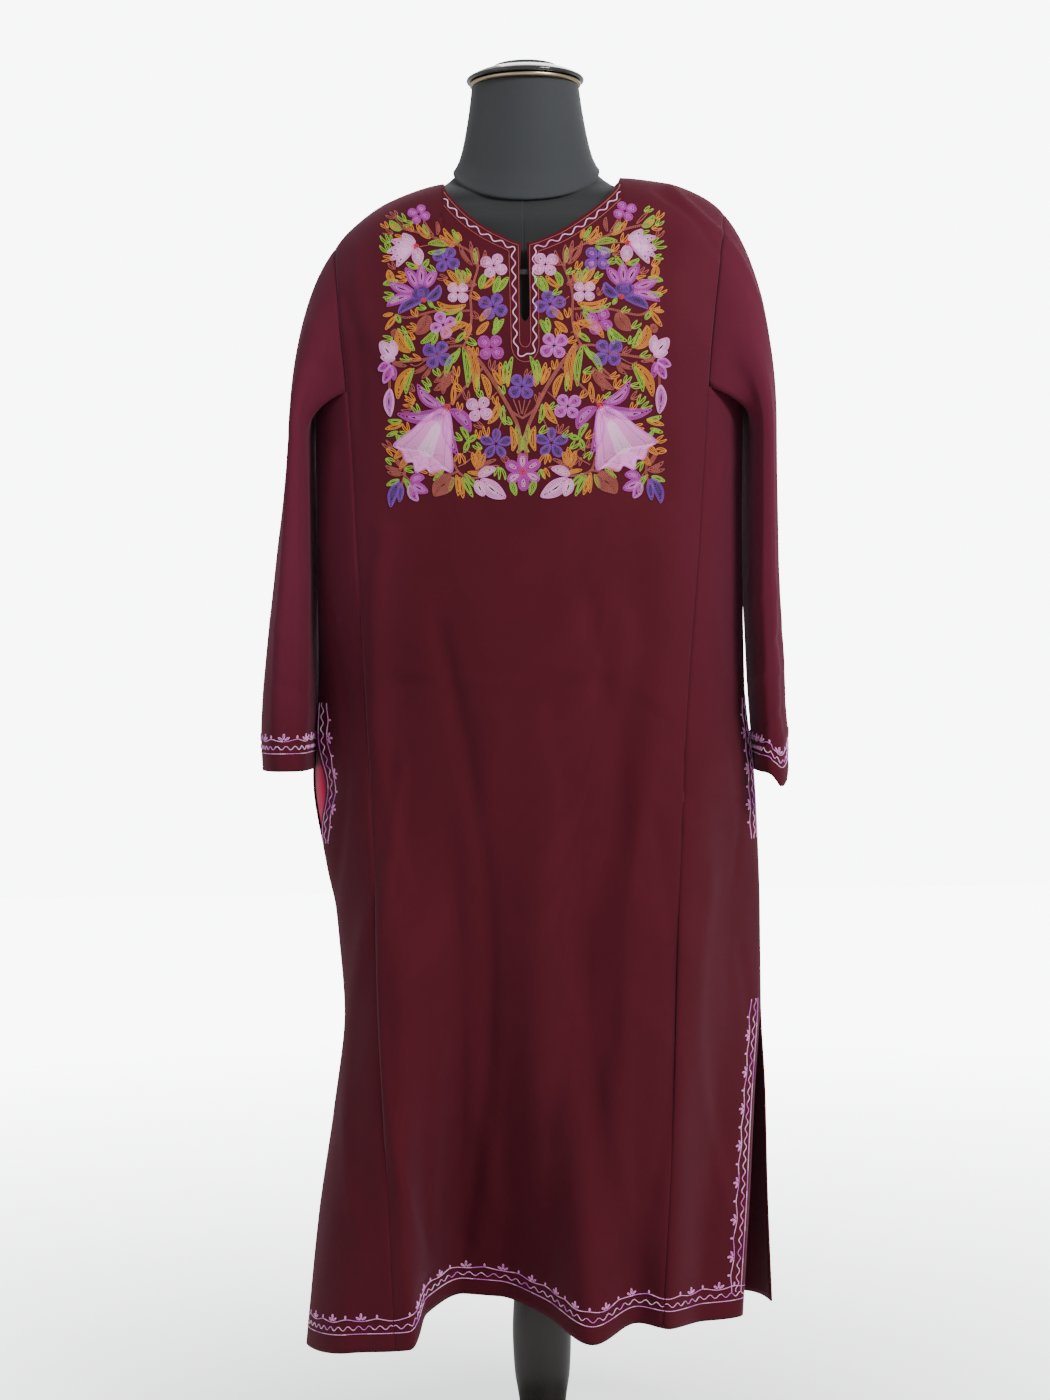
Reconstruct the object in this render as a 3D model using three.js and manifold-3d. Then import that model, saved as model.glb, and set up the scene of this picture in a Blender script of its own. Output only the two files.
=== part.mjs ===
// A pheran, the long straight tunic of Kashmir, worn on a limbless dress form with a turned stand.
// Millimetres, +Z up. The front faces -Y and the origin lies under the middle of the base.
import * as THREE from "three";
import { mergeVertices } from "three/addons/utils/BufferGeometryUtils.js";
import Module from "manifold-3d";

const wasm = await Module();
wasm.setup();

// Cloth and seams
const CLOTH = 2;
const LINING = 1.2;
const SEAM_GAP = 0.3;

// Heights of the garment's main lines
const UNDERARM = 1150;
const WAIST = 850;
const KNEE = 560;
const HEM = 160;

// How the cloth rounds off: over the shoulder ridge, and across the body towards its sides
const FRONT_ROUND = 70;
const BACK_ROUND = 50;
const SIDE_POWER = 0.385;

// Rows and columns of the cloth grids
const YOKE_ROWS = 8;
const SKIRT_ROWS = 20;
const SHOULDER_COLUMNS = 6;
const NECK_COLUMNS = 12;
const GORE_COLUMNS = 3;
// How far the columns under the neckline crowd towards the neck points, from 0 to 1
const NECK_CROWDING = 0.8;

// Front slit below the neck, and the hook that closes it
const SLIT = { x: -4, top: 1310, wide: 1225, bottom: 1216, halfMouth: 2.2, halfWide: 4.6 };
const HOOK = { x: -4, height: 1268, width: 15, rise: 5, thick: 1.2 };

// The body's outline: reach of each sheet to the left and right, its depth in the middle,
// and how far the two sheets part at the side seams (pocket mouths and side slits).
const OUTLINE = [
  { height: 160, frontLeft: 250, frontRight: 213, backLeft: 242, backRight: 253, front: 140, back: 136, partLeft: 42, partRight: 45 },
  { height: 290, frontLeft: 236, frontRight: 223, backLeft: 232, backRight: 248, front: 138, back: 134, partLeft: 26, partRight: 30 },
  { height: 400, frontLeft: 219, frontRight: 231, backLeft: 218, backRight: 245, front: 136, back: 132, partLeft: 11, partRight: 13 },
  { height: 500, frontLeft: 206, frontRight: 239, backLeft: 206, backRight: 240, front: 134, back: 131, partLeft: 0.15, partRight: 0.15 },
  { height: 600, frontLeft: 213, frontRight: 240, backLeft: 213, backRight: 240, front: 133, back: 130, partLeft: 0.15, partRight: 0.15 },
  { height: 655, frontLeft: 224, frontRight: 239, backLeft: 224, backRight: 239, front: 132, back: 130, partLeft: 0.15, partRight: 0.15 },
  { height: 745, frontLeft: 238, frontRight: 235, backLeft: 238, backRight: 235, front: 131, back: 129, partLeft: 11, partRight: 5 },
  { height: 845, frontLeft: 230, frontRight: 226, backLeft: 230, backRight: 226, front: 130, back: 126, partLeft: 0.15, partRight: 0.15 },
  { height: 1000, frontLeft: 228, frontRight: 225, backLeft: 228, backRight: 225, front: 130, back: 119, partLeft: 0.15, partRight: 0.15 },
  { height: 1150, frontLeft: 227, frontRight: 227, backLeft: 227, backRight: 227, front: 129, back: 113, partLeft: 0.15, partRight: 0.15 },
  { height: 1200, frontLeft: 227, frontRight: 227, backLeft: 227, backRight: 227, front: 127, back: 112, partLeft: 0, partRight: 0 },
  { height: 1250, frontLeft: 228, frontRight: 230, backLeft: 228, backRight: 230, front: 112, back: 110, partLeft: 0, partRight: 0 },
  { height: 1300, frontLeft: 230, frontRight: 234, backLeft: 230, backRight: 234, front: 96, back: 102, partLeft: 0, partRight: 0 },
  { height: 1385, frontLeft: 232, frontRight: 238, backLeft: 232, backRight: 238, front: 88, back: 92, partLeft: 0, partRight: 0 },
];

// The front sheet's folds, from its left edge (at 0) to its right edge (at 1)
const FRONT_FOLDS = [
  { at: 0, kneeX: -209, kneeY: 0, hemX: -250, hemY: 0, hemHeight: 150 },
  { at: 0.12, kneeX: -196, kneeY: -72, hemX: -200, hemY: -100, hemHeight: 160 },
  { at: 0.24, kneeX: -150, kneeY: -130, hemX: -136, hemY: -136, hemHeight: 168 },
  { at: 0.31, kneeX: -112, kneeY: -121, hemX: -120, hemY: -66, hemHeight: 186 },
  { at: 0.4, kneeX: -74, kneeY: -108, hemX: -82, hemY: -20, hemHeight: 194 },
  { at: 0.47, kneeX: -36, kneeY: -120, hemX: -45, hemY: -24, hemHeight: 192 },
  { at: 0.56, kneeX: 6, kneeY: -136, hemX: 4, hemY: -62, hemHeight: 181 },
  { at: 0.67, kneeX: 50, kneeY: -118, hemX: 54, hemY: -124, hemHeight: 167 },
  { at: 0.76, kneeX: 92, kneeY: -136, hemX: 97, hemY: -84, hemHeight: 178 },
  { at: 0.87, kneeX: 170, kneeY: -112, hemX: 152, hemY: -96, hemHeight: 174 },
  { at: 1, kneeX: 240, kneeY: 0, hemX: 213, hemY: 0, hemHeight: 174 },
];

// The back sheet's folds, also from left to right
const BACK_FOLDS = [
  { at: 0, kneeX: -209, kneeY: 0, hemX: -242, hemY: 0, hemHeight: 163 },
  { at: 0.14, kneeX: -190, kneeY: 74, hemX: -212, hemY: 98, hemHeight: 159 },
  { at: 0.26, kneeX: -140, kneeY: 128, hemX: -152, hemY: 140, hemHeight: 156 },
  { at: 0.38, kneeX: -78, kneeY: 116, hemX: -92, hemY: 88, hemHeight: 168 },
  { at: 0.5, kneeX: -6, kneeY: 136, hemX: -8, hemY: 144, hemHeight: 157 },
  { at: 0.62, kneeX: 70, kneeY: 119, hemX: 64, hemY: 96, hemHeight: 168 },
  { at: 0.74, kneeX: 138, kneeY: 130, hemX: 132, hemY: 144, hemHeight: 156 },
  { at: 0.86, kneeX: 205, kneeY: 84, hemX: 208, hemY: 104, hemHeight: 159 },
  { at: 1, kneeX: 240, kneeY: 0, hemX: 253, hemY: 0, hemHeight: 164 },
];
const WAIST_SHARE = 0.35;

// Where the gores are sewn to the front and back panels below the underarm, and the armholes above it
const SEAMS = [
  { height: 160, left: 152, right: 126 },
  { height: 400, left: 160, right: 140 },
  { height: 600, left: 166, right: 147 },
  { height: 800, left: 174, right: 158 },
  { height: 1000, left: 182, right: 175 },
  { height: 1150, left: 190, right: 186 },
  { height: 1250, left: 199, right: 197 },
  { height: 1340, left: 207, right: 208 },
];

// The shoulder ridge across the garment, and the neckline cut into the front and the back
const RIDGE = [
  { x: -232, height: 1262 },
  { x: -211, height: 1300 },
  { x: -190, height: 1327 },
  { x: -146, height: 1358 },
  { x: -88, height: 1376 },
  { x: 5, height: 1383 },
  { x: 99, height: 1380 },
  { x: 148, height: 1374 },
  { x: 185, height: 1360 },
  { x: 212, height: 1338 },
  { x: 238, height: 1294 },
];
const FRONT_NECK = [
  { x: -88, height: 1376 },
  { x: -84, height: 1361 },
  { x: -76, height: 1348 },
  { x: -56, height: 1326 },
  { x: -30, height: 1309 },
  { x: -4, height: 1299 },
  { x: 28, height: 1309 },
  { x: 56, height: 1326 },
  { x: 82, height: 1348 },
  { x: 93, height: 1362 },
  { x: 99, height: 1380 },
];
const BACK_NECK = [
  { x: -88, height: 1376 },
  { x: -60, height: 1366 },
  { x: 5, height: 1361 },
  { x: 70, height: 1368 },
  { x: 99, height: 1380 },
];
const NECK_POINTS = { left: -88, right: 99 };

// Rings of each sleeve below the shoulder: reach inside and outside, and to the front and back
const SLEEVES = {
  left: [
    { height: 1105, inner: 231, outer: 256, front: 88, back: 84 },
    { height: 1040, inner: 230.5, outer: 264, front: 82, back: 80 },
    { height: 960, inner: 230.5, outer: 274, front: 78, back: 78 },
    { height: 890, inner: 232, outer: 283, front: 76, back: 74 },
    { height: 830, inner: 236, outer: 289, front: 74, back: 72 },
    { height: 790, inner: 242, outer: 291, front: 72, back: 70 },
    { height: 757, inner: 244, outer: 290, front: 71, back: 70 },
  ],
  right: [
    { height: 1105, inner: 231, outer: 261, front: 88, back: 84 },
    { height: 1040, inner: 230, outer: 262, front: 84, back: 80 },
    { height: 960, inner: 229.5, outer: 263, front: 80, back: 78 },
    { height: 890, inner: 231, outer: 266, front: 78, back: 76 },
    { height: 830, inner: 233, outer: 268, front: 75, back: 74 },
    { height: 790, inner: 238, outer: 270, front: 73, back: 72 },
    { height: 750, inner: 242, outer: 271, front: 72, back: 71 },
  ],
};
const FAN_ROWS = 6;

// Pocket bags hang inside the side seams, behind the front gore
const POCKET = { top: 830, bottom: 672, depth: 0.15, drop: 60, inset: 7, thick: 9, rings: 5, sides: 12 };

// The dress form, from the neck seam down: half width, front and back depth, and roundness of each section
const TORSO = [
  { height: 1372, half: 73, front: 54, back: 56, power: 2.0, slant: 0.2 },
  { height: 1366, half: 92, front: 57, back: 58, power: 1.6, slant: 0.12 },
  { height: 1355.4, half: 145, front: 59, back: 62, power: 1.5, slant: 0.04 },
  { height: 1342, half: 166, front: 66, back: 72, power: 1.6, slant: 0 },
  { height: 1323, half: 182, front: 78, back: 84, power: 1.9, slant: 0 },
  { height: 1296, half: 190, front: 84, back: 92, power: 2.1, slant: 0 },
  { height: 1250, half: 188, front: 101, back: 99, power: 2.2, slant: 0 },
  { height: 1180, half: 169, front: 120, back: 100, power: 2.3, slant: 0 },
  { height: 1100, half: 149, front: 106, back: 88, power: 2.2, slant: 0 },
  { height: 1020, half: 131, front: 90, back: 78, power: 2.2, slant: 0 },
  { height: 940, half: 148, front: 98, back: 96, power: 2.2, slant: 0 },
  { height: 860, half: 167, front: 106, back: 112, power: 2.2, slant: 0 },
  { height: 790, half: 170, front: 106, back: 114, power: 2.2, slant: 0 },
  { height: 715, half: 164, front: 102, back: 108, power: 2.2, slant: 0 },
];
const NECK = [
  { height: 1372.3, half: 74, front: 55, back: 57, power: 2, slant: 0.2 },
  { height: 1379, half: 75, front: 56, back: 58, power: 2, slant: 0.19 },
  { height: 1384, half: 71.5, front: 54, back: 57, power: 2, slant: 0.17 },
  { height: 1418, half: 65, front: 55, back: 58, power: 2, slant: 0.08 },
  { height: 1455, half: 60, front: 54, back: 56, power: 2, slant: 0 },
  { height: 1478, half: 57, front: 53, back: 54, power: 2, slant: 0 },
];
const FORM_SIDES = 28;

// Turned pieces as radius and height from their underside up
const CAP_RING = [
  { radius: 56, height: 1478.3 },
  { radius: 59, height: 1479.6 },
  { radius: 59, height: 1482 },
  { radius: 56, height: 1483 },
];
const CAP = [
  { radius: 56, height: 1483.3 },
  { radius: 61, height: 1483.6 },
  { radius: 62.5, height: 1485.6 },
  { radius: 60, height: 1488.4 },
  { radius: 50, height: 1493.4 },
  { radius: 36, height: 1497.6 },
  { radius: 33, height: 1500.4 },
  { radius: 20, height: 1503 },
];
const COLUMN = [
  { radius: 42, height: 28.3 },
  { radius: 42, height: 36 },
  { radius: 27, height: 44 },
  { radius: 24, height: 62 },
  { radius: 26, height: 80 },
  { radius: 30, height: 108 },
  { radius: 31.5, height: 148 },
  { radius: 29, height: 190 },
  { radius: 21, height: 240 },
  { radius: 17, height: 300 },
  { radius: 17, height: 690 },
  { radius: 36, height: 702 },
  { radius: 36, height: 714.7 },
];
const BASE = [
  { radius: 170, height: 0 },
  { radius: 172, height: 4 },
  { radius: 170, height: 15 },
  { radius: 160, height: 22 },
  { radius: 70, height: 28 },
];
const TURNED_SIDES = 28;

// Smooth curve through the rows of a table, read at one value of its first column.
function read(rows, column, at, key) {
  const last = rows.length - 1;
  if (at <= rows[0][key]) return rows[0][column];
  if (at >= rows[last][key]) return rows[last][column];
  const i = rows.findIndex((row) => row[key] > at) - 1;
  const slope = (a, b) => (rows[b][column] - rows[a][column]) / (rows[b][key] - rows[a][key]);
  const span = rows[i + 1][key] - rows[i][key];
  const chord = slope(i, i + 1);
  const before = i > 0 ? slope(i - 1, i) : chord;
  const after = i + 1 < last ? slope(i + 1, i + 2) : chord;
  const ease = (a, b) => (a * b > 0 ? (2 * a * b) / (a + b) : 0);
  const start = i > 0 ? ease(before, chord) : chord;
  const end = i + 1 < last ? ease(chord, after) : chord;
  const t = (at - rows[i][key]) / span;
  return (
    rows[i][column] * (1 + 2 * t) * (1 - t) ** 2 +
    start * span * t * (1 - t) ** 2 +
    rows[i + 1][column] * t * t * (3 - 2 * t) +
    end * span * t * t * (t - 1)
  );
}

const mix = (a, b, t) => a + (b - a) * t;
const outline = (column, height) => read(OUTLINE, column, height, "height");
const seam = (side, height) => read(SEAMS, side < 0 ? "left" : "right", height, "height") * side;
const ridge = (x) => read(RIDGE, "height", x, "x");

// One of the two sheets of the body: its table of folds and the names of its outline columns.
const FRONT = { facing: -1, round: FRONT_ROUND, depth: "front", left: "frontLeft", right: "frontRight", folds: FRONT_FOLDS, neck: FRONT_NECK };
const BACK = { facing: 1, round: BACK_ROUND, depth: "back", left: "backLeft", right: "backRight", folds: BACK_FOLDS, neck: BACK_NECK };

const edgeReach = (sheet, side, height) => outline(side < 0 ? sheet.left : sheet.right, height);

// The plain section: x as a share of the sheet's reach, and its depth, at a place from 0 to 1 across it.
const plainShare = (at) => -Math.cos(Math.PI * at);
const plainDepth = (sheet, share, height) =>
  sheet.facing * outline(sheet.depth, height) * Math.max(0, 1 - share * share) ** SIDE_POWER;

// How much each row of folds adds to the plain section at the knee and at the hem.
for (const sheet of [FRONT, BACK]) {
  for (const row of sheet.folds) {
    const share = plainShare(row.at);
    for (const [level, height] of [["knee", KNEE], ["hem", HEM]]) {
      const x = row[level + "X"];
      row[level + "Share"] = x / edgeReach(sheet, x < 0 ? -1 : 1, height) - share;
      row[level + "Depth"] = row[level + "Y"] - plainDepth(sheet, share, height);
    }
    if (row.at === 0 || row.at === 1) row.kneeShare = row.hemShare = 0;
  }
}

function foldPart(sheet, what, at, height) {
  const knee = read(sheet.folds, "knee" + what, at, "at");
  const levels = [
    { height: HEM, amount: read(sheet.folds, "hem" + what, at, "at") },
    { height: KNEE, amount: knee },
    { height: WAIST, amount: knee * WAIST_SHARE },
    { height: UNDERARM, amount: 0 },
  ];
  return read(levels, "amount", height, "height");
}

// A point of a sheet below the underarm: across it from 0 to 1, at its nominal height.
function skirtPoint(sheet, at, height) {
  const share = plainShare(at) + foldPart(sheet, "Share", at, height);
  const side = share < 0 ? -1 : 1;
  const x = share * edgeReach(sheet, side, height);
  const part = outline(side < 0 ? "partLeft" : "partRight", height) * Math.abs(plainShare(at)) ** 12;
  const y = plainDepth(sheet, plainShare(at), height) + foldPart(sheet, "Depth", at, height) + sheet.facing * part;
  const fall = (UNDERARM - height) / (UNDERARM - HEM);
  const z = height + (read(sheet.folds, "hemHeight", at, "at") - HEM) * fall ** 3;
  return new THREE.Vector3(x, y, z);
}

// Where across a sheet the cloth has a given x, at a nominal height.
function acrossAt(sheet, x, height) {
  let low = 0;
  let high = 1;
  for (let i = 0; i < 30; i++) {
    const middle = (low + high) / 2;
    if (skirtPoint(sheet, middle, height).x < x) low = middle;
    else high = middle;
  }
  return (low + high) / 2;
}

// A point of a sheet above the underarm: straight over its place in the skirt, a distance along the
// cloth down from the shoulder ridge.
const quarter = (sheet) => (sheet.round * Math.PI) / 2;
const fallOf = (sheet, along) =>
  along < quarter(sheet) ? sheet.round * (1 - Math.cos(along / sheet.round)) : along - quarter(sheet) + sheet.round;
const alongOf = (sheet, fall) =>
  fall < sheet.round ? sheet.round * Math.acos(1 - fall / sheet.round) : fall - sheet.round + quarter(sheet);

function yokeX(at, height) {
  const x = plainShare(at) * outline("frontLeft", UNDERARM);
  const side = x < 0 ? -1 : 1;
  return (x * seam(side, height)) / seam(side, UNDERARM);
}

function yokePoint(sheet, at, along) {
  let height = UNDERARM;
  let x = yokeX(at, height);
  for (let i = 0; i < 12; i++) {
    height = ridge(x) - fallOf(sheet, along);
    x = yokeX(at, height);
  }
  const reach = edgeReach(sheet, x < 0 ? -1 : 1, height);
  const over = along < quarter(sheet) ? Math.sin(along / sheet.round) : 1;
  return new THREE.Vector3(x, plainDepth(sheet, x / reach, height) * over, height);
}

// The cloth's outward direction at a point of a surface that takes two values.
function normalOf(surface, a, b, outward) {
  const stepA = 1e-3;
  const stepB = 0.5;
  const alongA = surface(a + stepA, b).sub(surface(a - stepA, b));
  const alongB = surface(a, b + stepB).sub(surface(a, b - stepB));
  const normal = alongA.cross(alongB).normalize();
  return normal.dot(outward) < 0 ? normal.negate() : normal;
}

// Columns of the front and back panels as places across the sheet, the neck points among them.
function panelColumns(sheet, height) {
  const skirt = Math.min(height, UNDERARM);
  const scale = (side) => seam(side, UNDERARM) / seam(side, ridge(side < 0 ? NECK_POINTS.left : NECK_POINTS.right));
  const guide = (x, side) => Math.acos(-(x * scale(side)) / outline("frontLeft", UNDERARM)) / Math.PI;
  const stops = [
    acrossAt(sheet, seam(-1, skirt), skirt),
    guide(NECK_POINTS.left, -1),
    guide(NECK_POINTS.right, 1),
    acrossAt(sheet, seam(1, skirt), skirt),
  ];
  const columns = [];
  [SHOULDER_COLUMNS, NECK_COLUMNS, SHOULDER_COLUMNS].forEach((count, zone) => {
    for (let i = 0; i < count; i++) {
      const even = i / count;
      const crowded = 0.5 - 0.5 * Math.cos(Math.PI * even);
      columns.push(mix(stops[zone], stops[zone + 1], zone === 1 ? mix(even, crowded, NECK_CROWDING) : even));
    }
  });
  columns.push(stops[3]);
  return columns;
}

const outwardAt = (point) => new THREE.Vector3(point.x * 0.4, point.y || 1, 0);

function clothVertex(surface, a, b) {
  const point = surface(a, b);
  const clampedA = Math.min(Math.max(a, 2e-3), 1 - 2e-3);
  return { point, normal: normalOf(surface, clampedA, b, outwardAt(surface(clampedA, b))) };
}

// Rows of a panel from its top edge, the ridge or the neckline, down to the hem.
function panelGrid(sheet) {
  const rows = [];
  const yoke = (at, along) => yokePoint(sheet, at, along);
  const skirt = (at, height) => skirtPoint(sheet, at, height);
  const top = panelColumns(sheet, UNDERARM);
  const underarmAlong = (at) => alongOf(sheet, ridge(yokeX(at, UNDERARM)) - UNDERARM);
  for (let i = 0; i < YOKE_ROWS; i++) {
    rows.push(
      top.map((at, column) => {
        const x = yokeX(at, ridge(yokeX(at, UNDERARM)));
        const inNeck = column >= SHOULDER_COLUMNS && column <= SHOULDER_COLUMNS + NECK_COLUMNS;
        const fall = inNeck ? ridge(x) - read(sheet.neck, "height", x, "x") : 0;
        const start = Math.max(alongOf(sheet, Math.max(fall, 0)), 0.6);
        return clothVertex(yoke, at, mix(start, underarmAlong(at), i / YOKE_ROWS));
      }),
    );
  }
  for (let i = 0; i <= SKIRT_ROWS; i++) {
    const height = mix(UNDERARM, HEM, i / SKIRT_ROWS);
    rows.push(panelColumns(sheet, height).map((at) => clothVertex(skirt, at, height)));
  }
  return rows;
}

// Rows of a gore: the triangle of cloth between a panel and the side seam on one side.
function goreGrid(sheet, side) {
  const skirt = (at, height) => skirtPoint(sheet, at, height);
  const rows = [];
  for (let i = 0; i <= SKIRT_ROWS; i++) {
    const height = mix(UNDERARM, HEM, i / SKIRT_ROWS);
    const inner = acrossAt(sheet, seam(side, height), height);
    const outer = side < 0 ? 0 : 1;
    const row = [];
    for (let j = 0; j <= GORE_COLUMNS; j++) row.push(clothVertex(skirt, mix(inner, outer, j / GORE_COLUMNS), height));
    const along = row[1].point.clone().sub(row[0].point).normalize();
    row[0].point.addScaledVector(along, SEAM_GAP);
    const sewn = outline(side < 0 ? "partLeft" : "partRight", height) < 1;
    if (sewn) row[GORE_COLUMNS].normal.set(side, 0, 0);
    rows.push(row);
  }
  return rows;
}

// A closed wall from a grid of outer points and their normals. The grid may close on itself sideways.
function wall(grid, thick, closed = false) {
  const rows = grid.length;
  const columns = grid[0].length;
  const positions = [];
  for (const depth of [0, thick]) {
    for (const row of grid) {
      for (const { point, normal } of row) {
        positions.push(...point.clone().addScaledVector(normal, -depth).toArray());
      }
    }
  }
  const at = (layer, i, j) => layer * rows * columns + i * columns + (j % columns);
  const faces = [];
  const quad = (a, b, c, d) => faces.push(a, b, c, a, c, d);
  const lastColumn = closed ? columns : columns - 1;
  for (let i = 0; i < rows - 1; i++) {
    for (let j = 0; j < lastColumn; j++) {
      quad(at(0, i, j), at(0, i + 1, j), at(0, i + 1, j + 1), at(0, i, j + 1));
      quad(at(1, i, j), at(1, i, j + 1), at(1, i + 1, j + 1), at(1, i + 1, j));
    }
  }
  for (let j = 0; j < lastColumn; j++) {
    quad(at(0, 0, j), at(0, 0, j + 1), at(1, 0, j + 1), at(1, 0, j));
    quad(at(0, rows - 1, j + 1), at(0, rows - 1, j), at(1, rows - 1, j), at(1, rows - 1, j + 1));
  }
  if (!closed) {
    for (let i = 0; i < rows - 1; i++) {
      quad(at(0, i + 1, 0), at(0, i, 0), at(1, i, 0), at(1, i + 1, 0));
      quad(at(0, i, columns - 1), at(0, i + 1, columns - 1), at(1, i + 1, columns - 1), at(1, i, columns - 1));
    }
  }
  return facingOut(positions, faces);
}

// A geometry from positions and faces, its faces turned to point outwards.
function facingOut(positions, faces) {
  const corner = (k) => new THREE.Vector3().fromArray(positions, faces[k] * 3);
  let volume = 0;
  for (let k = 0; k < faces.length; k += 3) volume += corner(k).dot(corner(k + 1).cross(corner(k + 2)));
  const geometry = new THREE.BufferGeometry();
  geometry.setAttribute("position", new THREE.Float32BufferAttribute(positions, 3));
  geometry.setIndex(volume < 0 ? faces.slice().reverse() : faces);
  geometry.computeVertexNormals();
  return geometry;
}

// A solid through closed rings of points, flat at both ends.
function ringSolid(rings) {
  const sides = rings[0].length;
  const positions = rings.flat().flatMap((point) => point.toArray());
  const faces = [];
  for (let i = 0; i < rings.length - 1; i++) {
    for (let j = 0; j < sides; j++) {
      const next = (j + 1) % sides;
      const [a, b, c, d] = [i * sides + j, i * sides + next, (i + 1) * sides + next, (i + 1) * sides + j];
      faces.push(a, b, c, a, c, d);
    }
  }
  const last = (rings.length - 1) * sides;
  for (let j = 1; j < sides - 1; j++) {
    faces.push(0, j + 1, j);
    faces.push(last, last + j, last + j + 1);
  }
  return facingOut(positions, faces);
}

function formRing(row) {
  const ring = [];
  for (let j = 0; j < FORM_SIDES; j++) {
    const angle = (2 * Math.PI * j) / FORM_SIDES;
    const bend = (value) => Math.sign(value) * Math.abs(value) ** (2 / row.power);
    const depth = Math.sin(angle) < 0 ? row.front : row.back;
    const y = depth * bend(Math.sin(angle));
    ring.push(new THREE.Vector3(row.half * bend(Math.cos(angle)), y, row.height + row.slant * y));
  }
  return ring;
}

function turned(rows) {
  const profile = [
    new THREE.Vector2(0, rows[0].height),
    ...rows.map((row) => new THREE.Vector2(row.radius, row.height)),
    new THREE.Vector2(0, rows[rows.length - 1].height),
  ];
  const geometry = new THREE.LatheGeometry(profile, TURNED_SIDES);
  geometry.rotateX(Math.PI / 2);
  return geometry;
}

// The loop of edges that a sleeve is sewn to: from the ridge down the front armhole, under the arm
// along the tops of the gores, and up the back armhole.
function armhole(side, panels, gores) {
  const column = (grid) => (side < 0 ? 0 : grid[0].length - 1);
  const down = (grid) => grid.slice(0, YOKE_ROWS + 1).map((row) => row[column(grid)]);
  const front = down(panels.front);
  const back = down(panels.back).reverse();
  const underFront = gores.front[0].slice(1);
  const underBack = gores.back[0].slice(1, -1).reverse();
  return { loop: [...front, ...underFront, ...underBack, ...back.slice(0, -1)], corner: front.length - 1, under: underFront.length + underBack.length };
}

// A sleeve: it fans out from the armhole round the underarm, then hangs in flat oval rings to the cuff.
function sleeveGrid(side, panels, gores) {
  const { loop, corner, under } = armhole(side, panels, gores);
  const rings = SLEEVES[side < 0 ? "left" : "right"];
  const count = loop.length;
  const underMiddle = corner + (under + 1) / 2;
  const turn = (j) => (j <= underMiddle ? (Math.PI * j) / underMiddle : Math.PI + (Math.PI * (j - underMiddle)) / (count - underMiddle));
  const ovalPoint = (row, j) => {
    const centre = (row.inner + row.outer) / 2;
    const halfWidth = (row.outer - row.inner) / 2;
    const swing = Math.sin(turn(j));
    const y = swing > 0 ? -row.front * swing : -row.back * swing;
    return new THREE.Vector3(side * (centre + halfWidth * Math.cos(turn(j))), y, row.height);
  };
  const starts = loop.map(({ point }, j) => {
    const low = j > corner && j <= corner + under;
    const sewn = point.clone();
    const away = low ? new THREE.Vector3(side * 0.9, 0, 0.35) : new THREE.Vector3(side, -0.12 * Math.sin(turn(j)), -0.3 - 0.35 * Math.max(0, Math.cos(turn(j))));
    sewn.addScaledVector(low ? new THREE.Vector3(0, 0, 1) : new THREE.Vector3(side, 0, 0), SEAM_GAP);
    return { point: sewn, away: away.normalize() };
  });
  const grid = [];
  for (let i = 0; i < FAN_ROWS; i++) {
    const t = i / FAN_ROWS;
    grid.push(
      starts.map(({ point, away }, j) => {
        const end = ovalPoint(rings[0], j);
        const pull = point.distanceTo(end) * 0.9;
        const curve = new THREE.CubicBezierCurve3(
          point,
          point.clone().addScaledVector(away, pull / 3),
          end.clone().add(new THREE.Vector3(0, 0, pull / 2)),
          end,
        );
        return curve.getPoint(t);
      }),
    );
  }
  for (const row of rings) grid.push(starts.map((_, j) => ovalPoint(row, j)));
  return withNormals(grid, loop);
}

// Gives each point of a tube's rings its outward direction; the first ring keeps that of its seam.
function withNormals(grid, seamLoop) {
  const count = grid[0].length;
  return grid.map((ring, i) => {
    const centre = ring.reduce((sum, p) => sum.add(p), new THREE.Vector3()).divideScalar(count);
    return ring.map((point, j) => {
      const around = ring[(j + 1) % count].clone().sub(ring[(j + count - 1) % count]);
      const above = grid[Math.max(i - 1, 0)][j];
      const below = grid[Math.min(i + 1, grid.length - 1)][j];
      const normal = around.cross(below.clone().sub(above)).normalize();
      if (normal.dot(point.clone().sub(centre)) < 0) normal.negate();
      if (i === 0 && seamLoop && Math.abs(seamLoop[j].normal.dot(normal)) > 0.6) normal.copy(seamLoop[j].normal);
      return { point, normal };
    });
  });
}

// One ring of a pocket bag at a share of its depth, shrunk on every side for its inner face.
function pocketRing(side, depth, shrink) {
  const at = (side < 0 ? 0 : 1) - side * POCKET.depth * depth;
  const top = POCKET.top - 12 * depth - 2 * shrink;
  const bottom = POCKET.bottom - POCKET.drop * Math.sqrt(depth) + 2 * shrink;
  const ring = [];
  for (let j = 0; j < POCKET.sides; j++) {
    const angle = (2 * Math.PI * (j + 0.5)) / POCKET.sides;
    const height = mix(bottom, top, 0.5 + 0.5 * Math.cos(angle));
    const forward = Math.sign(Math.sin(angle)) * Math.sqrt(Math.abs(Math.sin(angle)));
    if (depth === 0) {
      const part = outline(side < 0 ? "partLeft" : "partRight", height);
      const reach = edgeReach(FRONT, side, height) - CLOTH - 1.1;
      ring.push(new THREE.Vector3(side * reach, -forward * (Math.max(part - 2.6, 2) - shrink), height));
    } else {
      const { point, normal } = clothVertex((a, b) => skirtPoint(FRONT, a, b), at, height);
      const inset = CLOTH + POCKET.inset + POCKET.thick / 2 - (POCKET.thick / 2 - shrink) * forward;
      ring.push(point.addScaledVector(normal, -inset));
    }
  }
  return ring;
}

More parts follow.
